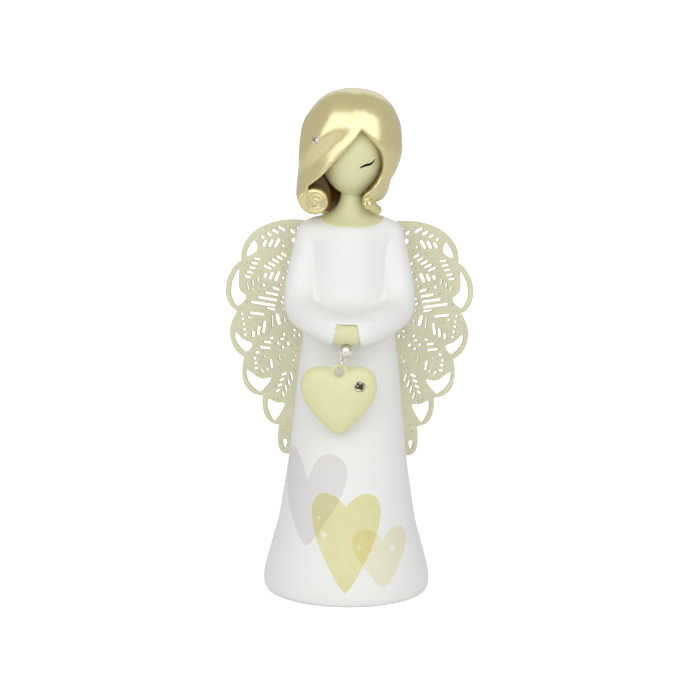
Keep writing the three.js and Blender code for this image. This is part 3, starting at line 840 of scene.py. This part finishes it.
def cut_stone(centre, facing, radius, name, body, node, paint, dark_reflection_power):
    """A round cut stone: a flat table, then two rings of points, each turned half a step on from the last, so
    that the crown is made of kites and triangles, and a girdle. Each facet gets its own painted reflection, a
    value from dark to light, and more of them are painted dark the greater the last argument is."""
    steps = 8
    turn = np.arange(steps) * FULL_TURN / steps
    half = math.pi / steps
    table = np.stack([0.5 * np.cos(turn), 0.5 * np.sin(turn), np.ones(steps)], axis=1)
    middle = np.stack([0.8 * np.cos(turn + half), 0.8 * np.sin(turn + half), np.full(steps, 0.66)], axis=1)
    rim_turn = np.arange(2 * steps) * half
    rim = np.stack([np.cos(rim_turn), np.sin(rim_turn), np.full(2 * steps, 0.25)], axis=1)
    foot = rim * (0.97, 0.97, 0)
    shape = np.concatenate([table, middle, rim, foot])
    facing = np.array(facing, float) / np.linalg.norm(facing)
    side = np.cross((0, 0, 1.0), facing)
    side /= np.linalg.norm(side)
    points = np.array(centre) + radius * (shape[:, :1] * side + shape[:, 1:2] * np.cross(facing, side))
    points = points + STONE_HEIGHT * radius * shape[:, 2:] * facing
    i = np.arange(steps)
    after = (i + 1) % steps
    mid, rim_at, foot_at = steps, 2 * steps, 4 * steps
    faces = [i.tolist()]
    faces += np.stack([i, mid + i, after], axis=1).tolist()
    faces += np.stack([i, mid + (i - 1) % steps, rim_at + 2 * i, mid + i], axis=1).tolist()
    faces += np.stack([mid + i, rim_at + 2 * i, rim_at + 2 * i + 1], axis=1).tolist()
    faces += np.stack([mid + i, rim_at + 2 * i + 1, rim_at + (2 * i + 2) % (2 * steps)], axis=1).tolist()
    j = np.arange(2 * steps)
    after = (j + 1) % (2 * steps)
    faces += np.stack([rim_at + j, foot_at + j, foot_at + after, rim_at + after], axis=1).tolist()
    faces.append((foot_at + j).tolist())
    piece = put(name, points, faces, paint, crease=5)
    # Painted reflections: each facet gets its own value from dark to light, raised to the last argument's
    # power.
    depth = np.random.default_rng(11).permutation(np.linspace(0, 1, len(piece.data.polygons))) ** dark_reflection_power
    attribute = piece.data.attributes.new("facet", "FLOAT", "FACE")
    attribute.data.foreach_set("value", depth.astype(np.float32))
    return settle(piece, body, [node])


def seated(field, place, facing):
    """The point on a field's surface straight ahead of or behind a place, and the surface's slope there."""
    reach = np.linspace(-3, 3, 301)
    depth = field(*(place[:, None] + facing[:, None] * reach))
    point = place + facing * np.interp(0, depth, reach)
    steps = 0.2 * np.eye(3)
    slope = np.array([(field(*(point + step)) - field(*(point - step))) / 0.4 for step in steps])
    return point, slope.ravel() / np.linalg.norm(slope)


def build_stone(name, node, body, field, silver):
    """A cut stone let into the surface that it sits on, in a thin rim."""
    low, high = span(node)
    middle = (low + high) / 2
    toward = np.array(STONE_TOWARD[body])
    place, direction = seated(field, middle, toward / np.linalg.norm(toward))
    radius = (high - low)[2] / 2
    paint = bpy.data.materials.get("cut_stone") or stone_finish()
    # Painted reflections: the hair's stone gets more light facets, the heart's stone more dark ones.
    dark_reflection_power = 0.5 if body == "root" else 1.2
    cut_stone(place - direction * STONE_SUNK, direction, radius, name, body, node, paint, dark_reflection_power)
    side = np.cross((0, 0, 1.0), direction)
    side /= np.linalg.norm(side)
    turn = (np.arange(48) * FULL_TURN / 48)[:, None]
    rim = place + radius * 1.03 * (np.cos(turn) * side + np.sin(turn) * np.cross(direction, side))
    points, faces = carried(rim, direction, circle(0.12, 8), closed=True)
    settle(put(f"{name}_rim", points, faces, silver), body)


# ---------------------------------------------------------------- wings

WING_SWEEP = math.radians(18)
WING_ROOT = 5.5
WING_THICKNESS = 1.0
WING_INNER = [(7.2, 110), (8.3, 103), (9, 93), (11, 81), (13.3, 68), (15.5, 53), (17.1, 42)]
WING_LOBES = [
    ((10, 112.6), (14, 113.6), (18, 113.6)), ((28, 113.4), (36.4, 108), (35.7, 99.9)),
    ((41.4, 96.6), (43.2, 86.2), (37, 83.8)), ((40.8, 78.8), (40.2, 71.6), (34.6, 69.3)),
    ((36.2, 62.4), (34.8, 57.3), (28.3, 57.3)), ((28.9, 51.8), (27.2, 48.5), (22.9, 48.5)),
    ((23.6, 42.2), (23.2, 39), (19.6, 39.3)),
]
WING_WINDOWS = [
    [(31.4, 106.4), (33.6, 103.6), (34, 101.3), (30.5, 103.4)],
    [(36.5, 97), (38.7, 93.5), (39.2, 90), (38.8, 87.6), (37, 85.4), (34, 88.4), (36.4, 91)],
    [(37.6, 77), (37.5, 74.2), (34.9, 71.3), (33.4, 71.3), (31.9, 73.6), (34.8, 74.8)],
    [(33.7, 65.2), (33.4, 61.8), (30.5, 58.9), (28.8, 58.9), (25.6, 63.1), (29.2, 62.8)],
    [(26.5, 56.4), (26.8, 53.5), (25.1, 50), (23.8, 50.2), (21, 55.2), (23.8, 55.5)],
    [(21.7, 43.6), (20.1, 43.7), (20.9, 40.9)],
]
WING_TABS = ((85.0, 90.0, 5.0), (99.0, 105.0, 3.5))
# Rows of barbs: first slot's two ends, last slot's two ends, how many, and their width.
BARBS = [
    ((21.2, 109.9), (23.8, 111.1), (28.1, 107.2), (29.3, 107.7), 4, 0.95),
    ((23.1, 107.4), (24.9, 104.5), (27.4, 106.6), (28.7, 104.6), 3, 1.05),
    ((20.8, 101.9), (22.8, 102.9), (25.7, 97.6), (28.5, 98.6), 5, 0.85),
    ((23.1, 97.1), (24.7, 93.9), (27.3, 96.3), (28.3, 94.8), 3, 1.1),
    ((29.4, 100.5), (31.9, 100.7), (32.5, 94.6), (34.8, 94.9), 5, 0.7),
    ((30.2, 95.0), (30.2, 93.1), (33.8, 92.8), (33.3, 90.7), 3, 0.55),
    ((23.0, 91.3), (25.5, 91.8), (24.3, 86.2), (32.6, 86.9), 4, 0.9),
    ((27.8, 81.2), (28.4, 77.2), (31.6, 77.8), (31.8, 75.6), 3, 1.05),
    ((35.0, 83.1), (36.0, 82.7), (33.8, 76.7), (35.0, 76.0), 5, 0.55),
    ((25.6, 74.4), (28.3, 74.5), (25.9, 72.6), (29.6, 72.7), 2, 0.85),
    ((30.6, 69.4), (31.7, 68.7), (29.9, 66.1), (31.5, 65.7), 3, 0.72),
    ((29.2, 65.8), (28.2, 64.6), (27.2, 66.3), (26.7, 65.2), 2, 0.72),
    ((20.4, 65.2), (22.5, 64.2), (22.7, 59.8), (24.2, 58.7), 4, 0.6),
    ((19.2, 65.4), (18.5, 62.9), (22.0, 59.3), (21.4, 57.2), 4, 0.72),
]
# Single slots: two ends and a width.
SLOTS = [
    ((24.3, 84.9), (27.3, 85.3), 0.7), ((28.0, 83.2), (33.1, 83.4), 0.86),
    ((32.3, 81.9), (33.6, 81.9), 0.58), ((24.0, 83.8), (23.0, 80.2), 1.42),
    ((25.5, 83.3), (25.2, 79.2), 0.5), ((24.9, 76.2), (26.3, 75.6), 0.62),
    ((29.6, 71.2), (31.1, 70.7), 0.74), ((25.9, 69.3), (25.4, 66.2), 0.98),
    ((21.3, 75.9), (22.9, 75.7), 0.58), ((20.1, 75.0), (20.1, 73.8), 1.17),
    ((21.8, 73.7), (21.8, 72.6), 0.86), ((23.1, 70.7), (22.7, 68.8), 0.5),
    ((19.7, 110.2), (18.1, 109.3), 1.1), ((19.2, 106.6), (17.8, 107.6), 1.45),
    ((20.6, 97.6), (20.6, 96.9), 0.68), ((22.3, 88.7), (21.5, 89.2), 0.65),
    ((22.8, 87.6), (21.6, 87.1), 0.65), ((20.6, 84.6), (19.8, 83.7), 0.55),
    ((21.5, 82.6), (21.2, 81.2), 0.55), ((17.4, 80.1), (16.5, 80.5), 0.6),
    ((18.6, 78.8), (17.5, 79.0), 0.62), ((16.5, 78.0), (16.5, 76.8), 0.75),
    ((17.9, 70.6), (17.3, 71.0), 0.43), ((18.8, 69.1), (18.0, 69.6), 0.49),
    ((19.2, 67.3), (19.1, 68.0), 0.49),
]
# Round holes: place and radius.
HOLES = [
    (22.0, 105.1, 0.42), (22.0, 95.0, 0.46), (28.3, 92.4, 0.55), (22.7, 92.9, 0.36), (27.9, 69.8, 0.34),
    (21.5, 77.3, 0.49), (23.4, 74.3, 0.5), (18.5, 74.2, 0.28), (21.4, 70.2, 0.28), (24.3, 57.0, 0.28),
    (22.9, 56.8, 0.28), (17.3, 111.0, 0.36), (20.3, 100.1, 0.5), (21.1, 98.6, 0.28), (21.9, 85.2, 0.32),
    (20.0, 81.7, 0.24), (18.2, 77.1, 0.38), (16.6, 72.4, 0.28), (32.0, 90.9, 0.34), (20.9, 111.5, 0.26),
    (29.0, 96.9, 0.17), (20.5, 104.4, 0.22), (29.6, 90.4, 0.16), (33.9, 86.7, 0.17), (31.0, 81.0, 0.17),
    (28.8, 68.2, 0.24), (20.3, 48.9, 0.2), (21.2, 46.9, 0.15),
]


def slot_outline(start, end, width):
    """A slot with round ends: half circles of six steps about its two ends, drawn in by half the width."""
    start, end = np.array(start, float), np.array(end, float)
    along = (end - start) / np.linalg.norm(end - start)
    half = width / 2
    inset = min(half, 0.45 * np.linalg.norm(end - start))
    start, end = start + along * inset, end - along * inset
    base = math.atan2(along[1], along[0])
    swing = base + math.pi / 2 + np.linspace(0, math.pi, 6)
    near = start + half * np.stack([np.cos(swing), np.sin(swing)], axis=1)
    far = end - half * np.stack([np.cos(swing), np.sin(swing)], axis=1)
    return np.concatenate([near, far])


def wing_outlines():
    """The plate's outline with its two tabs, and every hole in it, as width along the plate and height."""
    edge = spline(WING_INNER, 4)
    inner = []
    for low, high, reach in sorted(WING_TABS, key=lambda tab: -tab[0]):
        meets = np.interp([high, low], edge[::-1, 1], edge[::-1, 0])
        inner.append([(meets[0], high), (reach, high), (reach, low), (meets[1], low)])
    top, second = np.array(inner[0]), np.array(inner[1])
    stretches = [
        edge[edge[:, 1] > top[0, 1]], top,
        edge[(edge[:, 1] < top[-1, 1]) & (edge[:, 1] > second[0, 1])], second,
        edge[edge[:, 1] < second[-1, 1]],
    ]
    lobes = bezier(WING_INNER[0], WING_LOBES, 14)[1:]
    outline = np.concatenate([*stretches, lobes[::-1]])
    holes = [spline(window, 6, closed=True) for window in WING_WINDOWS]
    for start, end, last_start, last_end, count, width in BARBS:
        for share in np.linspace(0, 1, count):
            pairs = ((start, last_start), (end, last_end))
            ends = [np.array(a) * (1 - share) + np.array(b) * share for a, b in pairs]
            holes.append(slot_outline(*ends, width))
    holes += [slot_outline(*slot) for slot in SLOTS]
    holes += [np.array([x, z]) + circle(radius, 12) for x, z, radius in HOLES]
    return outline, holes


def build_wings(looks):
    """Each wing is a flat sheet with its outline and slots cut by a filled curve, its edges rounded, laid in
    a plane that sweeps back from the spine."""
    paint = wing_finish(looks)
    outline, holes = wing_outlines()
    rounding = looks.wing_edge
    curve = bpy.data.curves.new("wing_cut", "CURVE")
    curve.dimensions, curve.fill_mode = "2D", "BOTH"
    curve.extrude = WING_THICKNESS / 2 - rounding
    curve.bevel_depth, curve.bevel_resolution, curve.offset = rounding, 1, -rounding
    for loop in (outline, *holes):
        line = curve.splines.new("POLY")
        line.points.add(len(loop) - 1)
        flat = np.concatenate([loop, np.zeros((len(loop), 1)), np.ones((len(loop), 1))], axis=1)
        line.points.foreach_set("co", flat.ravel())
        line.use_cyclic_u = True
    holder = bpy.data.objects.new("wing_cut", curve)
    bpy.context.scene.collection.objects.link(holder)
    plate = bpy.data.meshes.new_from_object(holder.evaluated_get(bpy.context.evaluated_depsgraph_get()))
    bpy.data.objects.remove(holder)
    place = np.empty(len(plate.vertices) * 3)
    plate.vertices.foreach_get("co", place)
    across, height, deep = place.reshape(-1, 3).T
    faces = [list(face.vertices) for face in plate.polygons]
    back = deep + WING_THICKNESS / 2
    cosine, sine = math.cos(WING_SWEEP), math.sin(WING_SWEEP)
    for name, side in (("left", -1), ("right", 1)):
        x = side * (across * cosine - back * sine)
        y = WING_ROOT + across * sine + back * cosine
        piece = put(f"wing_sheet_{name}", np.stack([x, y, height], axis=1), faces, paint, crease=40)
        settle(piece, "root", [f"wing_{name}"])


# ---------------------------------------------------------------- pendant

PIN_LEAN = math.radians(20.5)
PIN_WIRE, EYE_RADIUS, EYE_DISTANCE, PIN_UP = 0.26, 0.72, 2.4, 6.5
RING_WIRE = 0.3


def pin_down():
    """The direction in which the pin and the ring lean down and to the left."""
    return np.array([-math.sin(PIN_LEAN), 0, -math.cos(PIN_LEAN)])


def bead_centre():
    low, high = span("bead")
    return (low + high) / 2


def build_pin(silver):
    """Eye pin: a round wire down through the bead, ending in a closed eye in the same plane."""
    down = pin_down()
    side = np.cross(down, (0, 1, 0))
    middle = bead_centre() + down * EYE_DISTANCE
    turn = np.linspace(-0.5 * math.pi + 0.2, 1.5 * math.pi - 0.25, 40)[:, None]
    loop = middle + EYE_RADIUS * (np.cos(turn) * side + np.sin(turn) * down)
    top = bead_centre() - down * PIN_UP
    neck = middle - down * EYE_RADIUS
    shank = top + (neck - top) * np.linspace(0, 0.97, 8)[:, None]
    points, faces = carried(np.concatenate([shank, loop]), (0, 1, 0), circle(PIN_WIRE, 14))
    return settle(put("pin_wire", points, faces, silver), "root", ["eye_pin"])


def build_bead(silver):
    """Polished bead: a half circle from a small bored rim to the other, turned about the pin."""
    low, high = span("bead")
    radius, bore, mouth = (high - low)[1] / 2, 0.42, 1.12
    swing = np.linspace(math.asin(0.62 / radius), math.pi - math.asin(mouth / radius), 60)
    ball = np.stack([radius * np.sin(swing), radius * np.cos(swing)], axis=1)
    lip = [(bore, ball[0, 1] - 0.15), (bore, -1.3), (mouth * 0.9, -1.34)]
    profile = np.concatenate([ball, lip[::-1], [(bore, ball[0, 1] - 0.15)]])
    points, _ = turned(profile[:-1], 72)
    faces = grid_faces(len(profile) - 1, 72, round_rows=True)
    down = pin_down()
    side = np.cross(down, (0, 1, 0))
    across = points[:, :1] * side + points[:, 1:2] * np.array([0, 1.0, 0])
    points = bead_centre() + across - points[:, 2:] * down
    return settle(put("round_bead", points, faces, silver, crease=35), "bead", ["bead"])


def build_ring(silver):
    """Jump ring: round wire bent into a circle, with the hairline where its cut ends meet."""
    low, high = span("jump_ring")
    middle = (low + high) / 2
    radius = (high - low)[1] / 2 - RING_WIRE
    turn = np.linspace(0.025, FULL_TURN - 0.025, 90)[:, None]
    down = pin_down()
    path = middle + radius * (np.cos(turn) * np.array([0, 1.0, 0]) + np.sin(turn) * down)
    points, faces = carried(path, np.cross(down, (0, 1, 0)), circle(RING_WIRE, 16))
    return settle(put("link_ring", points, faces, silver), "ring", ["jump_ring"])


HEART_OUTLINE = [
    ((1.2, 19.6), (3.2, 20.8), (5.6, 20.8)), ((8.9, 20.8), (11.375, 18.4), (11.375, 15)),
    ((11.375, 12), (9.9, 8.75), (6.35, 5.1)), ((4.2, 3), (1.6, 0), (0, 0)),
]
HEART_NOTCH, HEART_MIDDLE = 18.2, 11.4
LOOP_RADIUS, LOOP_WIRE = 1.97, 0.62


def build_heart(looks):
    """Puffed heart: the outline's gauge about its middle and the thickness's gauge joined as a superellipse,
    with the hanging loop joined to the notch by a fillet. Gives back its field, for the heart's stone."""
    low, high = span("heart_charm")
    tip = np.array([(low + high)[0] / 2, (low + high)[1] / 2, low[2]])
    half = bezier((0, HEART_NOTCH), HEART_OUTLINE, 24)
    outline = np.concatenate([half, half[-2:0:-1] * (-1, 1)])
    reach = turning_radius(outline, (0, HEART_MIDDLE), 4)
    thick = (high - low)[1] / 2
    loop_up = high[2] - low[2] - LOOP_RADIUS - LOOP_WIRE

    def field(x, y, z):
        dx, dy, dz = x - tip[0], y - tip[1], z - tip[2]
        flat = np.hypot(dx, dz - HEART_MIDDLE) / reach(np.arctan2(dz - HEART_MIDDLE, dx))
        dent = 0.3 * np.exp(-(dx / 3.0) ** 2) * ease(11.0, 17.5, dz)
        body = ((flat ** 2.1 + (np.abs(dy) / (thick - dent)) ** 2.1) ** (1 / 2.1) - 1) * 6.0
        ring = np.hypot(np.hypot(dx, dz - loop_up) - LOOP_RADIUS, dy) - LOOP_WIRE
        hole = np.hypot(dx, dz - loop_up) - (LOOP_RADIUS - LOOP_WIRE)
        return trim(weld(body, ring, 0.9), -hole, 0.3)

    points, faces = skin(field, low, high, 0.26)
    finish, _ = painted("heart_paint", looks.heart, 0.42, 0.035, 0.015, coat=0.25)
    settle(put("puffed_heart", points, faces, finish.material), "heart", ["heart_charm"])
    return field


# ---------------------------------------------------------------- studio


def build_studio(studio):
    """Pale floor, soft lights, a dark card for reflections, and the camera. The floor's glow reaches the
    camera alone, so that the floor shows white and doesn't light the part."""
    scene = bpy.context.scene
    scene.view_settings.view_transform = "Standard"
    scene.view_settings.look = "None"
    world = bpy.data.worlds.new("studio")
    scene.world = world
    world.use_nodes = True
    back = world.node_tree.nodes["Background"]
    back.inputs["Color"].default_value = (1, 1, 1, 1)
    back.inputs["Strength"].default_value = studio.surround
    wide = 30.0
    mesh = bpy.data.meshes.new("floor")
    corners = [(-wide, -wide, 0), (wide, -wide, 0), (wide, wide, 0), (-wide, wide, 0)]
    mesh.from_pydata(corners, [], [(0, 1, 2, 3)])
    finish = Finish("floor_sheet")
    mottled = finish.between(finish.noise(12, 3), 0.3, 0.7)
    finish.set(base_color=finish.mix(mottled, (0.93, 0.93, 0.925, 1), (0.95, 0.95, 0.95, 1)), roughness=0.9)
    away = finish.add("ShaderNodeVectorMath", {0: finish.place}, operation="LENGTH").outputs["Value"]
    glow = finish.between(away, 0.1, 0.7, studio.floor_near, studio.floor_far)
    seen = finish.add("ShaderNodeLightPath").outputs["Is Camera Ray"]
    glow = finish.maths("MULTIPLY", glow, seen)
    finish.set(emission_color=(1, 1, 1, 1), emission_strength=glow)
    mesh.materials.append(finish.material)
    floor = bpy.data.objects.new("floor", mesh)
    scene.collection.objects.link(floor)
    target = Vector((0, 0, 0.1))
    card = bpy.data.meshes.new("dark_card")
    half, front, low, high = 1.3, -1.2, 0.03, 0.19
    corners = [(-half, front, low), (half, front, low), (half, front, high), (-half, front, high)]
    card.from_pydata(corners, [], [(3, 2, 1, 0)])
    black = Finish("card_black")
    tint = black.mix(black.noise(30), (0.01, 0.01, 0.01, 1), (0.03, 0.03, 0.03, 1))
    black.set(base_color=tint, roughness=0.9)
    card.materials.append(black.material)
    flag = bpy.data.objects.new("dark_card", card)
    flag.visible_camera = False
    scene.collection.objects.link(flag)
    for name, place, size, power in (
        ("key", (-0.03, -0.9, 0.57), (1.9, 0.9), studio.key),
        ("back", (0, 1.1, 0.8), (1.2, 0.8), studio.back),
    ):
        light = bpy.data.lights.new(name, "AREA")
        light.shape, light.size, light.size_y, light.energy = "RECTANGLE", *size, power
        lamp = bpy.data.objects.new(name, light)
        lamp.location = place
        lamp.rotation_euler = (target - Vector(place)).to_track_quat("-Z", "Y").to_euler()
        lamp.visible_camera = False
        scene.collection.objects.link(lamp)
    camera = bpy.data.cameras.new("camera")
    camera.lens, camera.sensor_width = studio.lens, 36.0
    camera.clip_start, camera.clip_end = 0.05, 100.0
    eye = bpy.data.objects.new("camera", camera)
    eye.location = studio.eye
    pitch, roll = math.pi / 2 - studio.pitch, studio.roll
    eye.rotation_euler = (Euler((pitch, 0, 0)).to_matrix() @ Euler((0, 0, roll)).to_matrix()).to_euler()
    scene.collection.objects.link(eye)
    scene.camera = eye


# ---------------------------------------------------------------- properties, operators and panel


def colour_property(name, description, default):
    return FloatVectorProperty(
        name=name, description=description, default=default, size=3, min=0, max=1, subtype="COLOR"
    )


def share_property(name, description, default):
    return FloatProperty(name=name, description=description, default=default, min=0, max=1)


def strength_property(name, description, default):
    return FloatProperty(name=name, description=description, default=default, min=0)


class FigurineLooks(PropertyGroup):
    """Paint colours and finishes of the figurine."""

    gown: colour_property("Gown", "White paint of the gown", (0.855, 0.87, 0.85))
    gown_roughness: share_property("Gown roughness", "Roughness of the gown's paint", 0.5)
    mauve: colour_property("Mauve", "Tint of the left printed heart", (0.86, 0.825, 0.835))
    yellow: colour_property("Yellow", "Tint of the middle printed heart", (0.87, 0.82, 0.42))
    peach: colour_property("Peach", "Tint of the right printed heart", (0.93, 0.885, 0.68))
    skin: colour_property("Skin", "Cream paint of face, neck and hands", (0.74, 0.725, 0.43))
    hair: colour_property("Hair", "Pearl gold paint of the hair", (0.66, 0.55, 0.12))
    hair_roughness: share_property("Hair roughness", "Roughness of the hair's pearl", 0.33)
    pearl: share_property("Pearl", "How metallic the hair's paint is", 0.6)
    wing: colour_property("Wing", "Cream coat of the wings", (0.71, 0.695, 0.49))
    wing_edge: FloatProperty(
        name="Wing edge", description="Rounding of the sheet's edges, mm", default=0.1, min=0.02
    )
    heart: colour_property("Heart", "Cream paint of the hanging heart", (0.76, 0.75, 0.42))


class FigurineStudio(PropertyGroup):
    """Lights and camera."""

    surround: strength_property("Surround", "Brightness of the room", 0.56)
    floor_near: strength_property("Floor near", "Glow of the floor by the part", 0.5)
    floor_far: strength_property("Floor far", "Glow of the floor farther off", 0.74)
    key: strength_property("Key", "Power of the front softbox", 6.9)
    back: strength_property("Back", "Power of the light behind", 1.2)
    lens: FloatProperty(name="Lens", description="Focal length in mm", default=119.36, min=1)
    eye: FloatVectorProperty(
        name="Camera", description="Where the camera stands", default=(0.00036, -0.7, 0.205),
        subtype="TRANSLATION", unit="LENGTH",
    )
    pitch: FloatProperty(
        name="Pitch", description="Looking down", default=math.radians(10.527), subtype="ANGLE"
    )
    roll: FloatProperty(name="Roll", description="Camera's roll", default=math.radians(0.67), subtype="ANGLE")


def silver_paint():
    """The silver finish, made once."""
    return bpy.data.materials.get("silver_plate") or metal_finish("silver_plate", (0.92, 0.9, 0.84), 0.06)


def skin_paint(looks):
    """The skin's finish, made once."""
    made = bpy.data.materials.get("skin_paint")
    return made or painted("skin_paint", looks.skin, 0.48, 0.03, 0.012, coat=0.1)[0].material


class FIGURINE_OT_gown(Operator):
    """Build the gown's casting"""

    bl_idname = "figurine.gown"
    bl_label = "Gown"

    def execute(self, context):
        build_gown(context.scene.figurine_looks)
        return {"FINISHED"}


class FIGURINE_OT_head(Operator):
    """Build the face, the eyelash and the neck"""

    bl_idname = "figurine.head"
    bl_label = "Head and neck"

    def execute(self, context):
        paint = skin_paint(context.scene.figurine_looks)
        build_head(paint)
        build_neck(paint)
        ink, _ = painted("lash_paint", (0.014, 0.011, 0.005), 0.7, 0.2, 0.004)
        ink.set(specular_ior_level=0.15)
        build_lash(ink.material)
        return {"FINISHED"}


class FIGURINE_OT_hands(Operator):
    """Build the clasped hands"""

    bl_idname = "figurine.hands"
    bl_label = "Hands"

    def execute(self, context):
        build_hands(skin_paint(context.scene.figurine_looks))
        return {"FINISHED"}


class FIGURINE_OT_hair(Operator):
    """Build the hair with its two curls, and its stone"""

    bl_idname = "figurine.hair"
    bl_label = "Hair"

    def execute(self, context):
        field = build_hair(context.scene.figurine_looks)
        build_stone("stone_in_hair", "hair_crystal", "root", field, silver_paint())
        return {"FINISHED"}


class FIGURINE_OT_wings(Operator):
    """Build the two cut wings"""

    bl_idname = "figurine.wings"
    bl_label = "Wings"

    def execute(self, context):
        build_wings(context.scene.figurine_looks)
        return {"FINISHED"}


class FIGURINE_OT_pendant(Operator):
    """Build the pin, the bead and the ring"""

    bl_idname = "figurine.pendant"
    bl_label = "Pin, bead and ring"

    def execute(self, context):
        silver = silver_paint()
        build_pin(silver)
        build_bead(silver)
        build_ring(silver)
        return {"FINISHED"}


class FIGURINE_OT_heart(Operator):
    """Build the hanging heart and its stone"""

    bl_idname = "figurine.heart"
    bl_label = "Heart"

    def execute(self, context):
        field = build_heart(context.scene.figurine_looks)
        build_stone("stone_on_heart", "heart_crystal", "heart", field, silver_paint())
        return {"FINISHED"}


class FIGURINE_OT_studio(Operator):
    """Build the floor, the lights and the camera"""

    bl_idname = "figurine.studio"
    bl_label = "Studio"

    def execute(self, context):
        build_studio(context.scene.figurine_studio)
        return {"FINISHED"}


OPERATORS = (
    FIGURINE_OT_studio, FIGURINE_OT_gown, FIGURINE_OT_head, FIGURINE_OT_hands, FIGURINE_OT_hair,
    FIGURINE_OT_wings, FIGURINE_OT_pendant, FIGURINE_OT_heart,
)


class FIGURINE_PT_panel(Panel):
    """Lists the sizes, the colours and the builders"""

    bl_idname = "FIGURINE_PT_panel"
    bl_label = "Figurine"
    bl_space_type = "VIEW_3D"
    bl_region_type = "UI"
    bl_category = "Figurine"

    def draw(self, context):
        for group in (context.scene.figurine_looks, context.scene.figurine_studio):
            column = self.layout.column()
            for name in group.__annotations__:
                column.prop(group, name)
        for operator in OPERATORS:
            self.layout.operator(operator.bl_idname)


CLASSES = (FigurineLooks, FigurineStudio, *OPERATORS, FIGURINE_PT_panel)


def register():
    for cls in CLASSES:
        bpy.utils.register_class(cls)
    bpy.types.Scene.figurine_looks = PointerProperty(type=FigurineLooks)
    bpy.types.Scene.figurine_studio = PointerProperty(type=FigurineStudio)


def unregister():
    del bpy.types.Scene.figurine_studio
    del bpy.types.Scene.figurine_looks
    for cls in reversed(CLASSES):
        bpy.utils.unregister_class(cls)


def main():
    """Registers the add-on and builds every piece."""
    register()
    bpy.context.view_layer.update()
    for operator in OPERATORS:
        group, name = operator.bl_idname.split(".")
        getattr(getattr(bpy.ops, group), name)()
    bpy.context.view_layer.update()


if __name__ == "__main__":
    main()
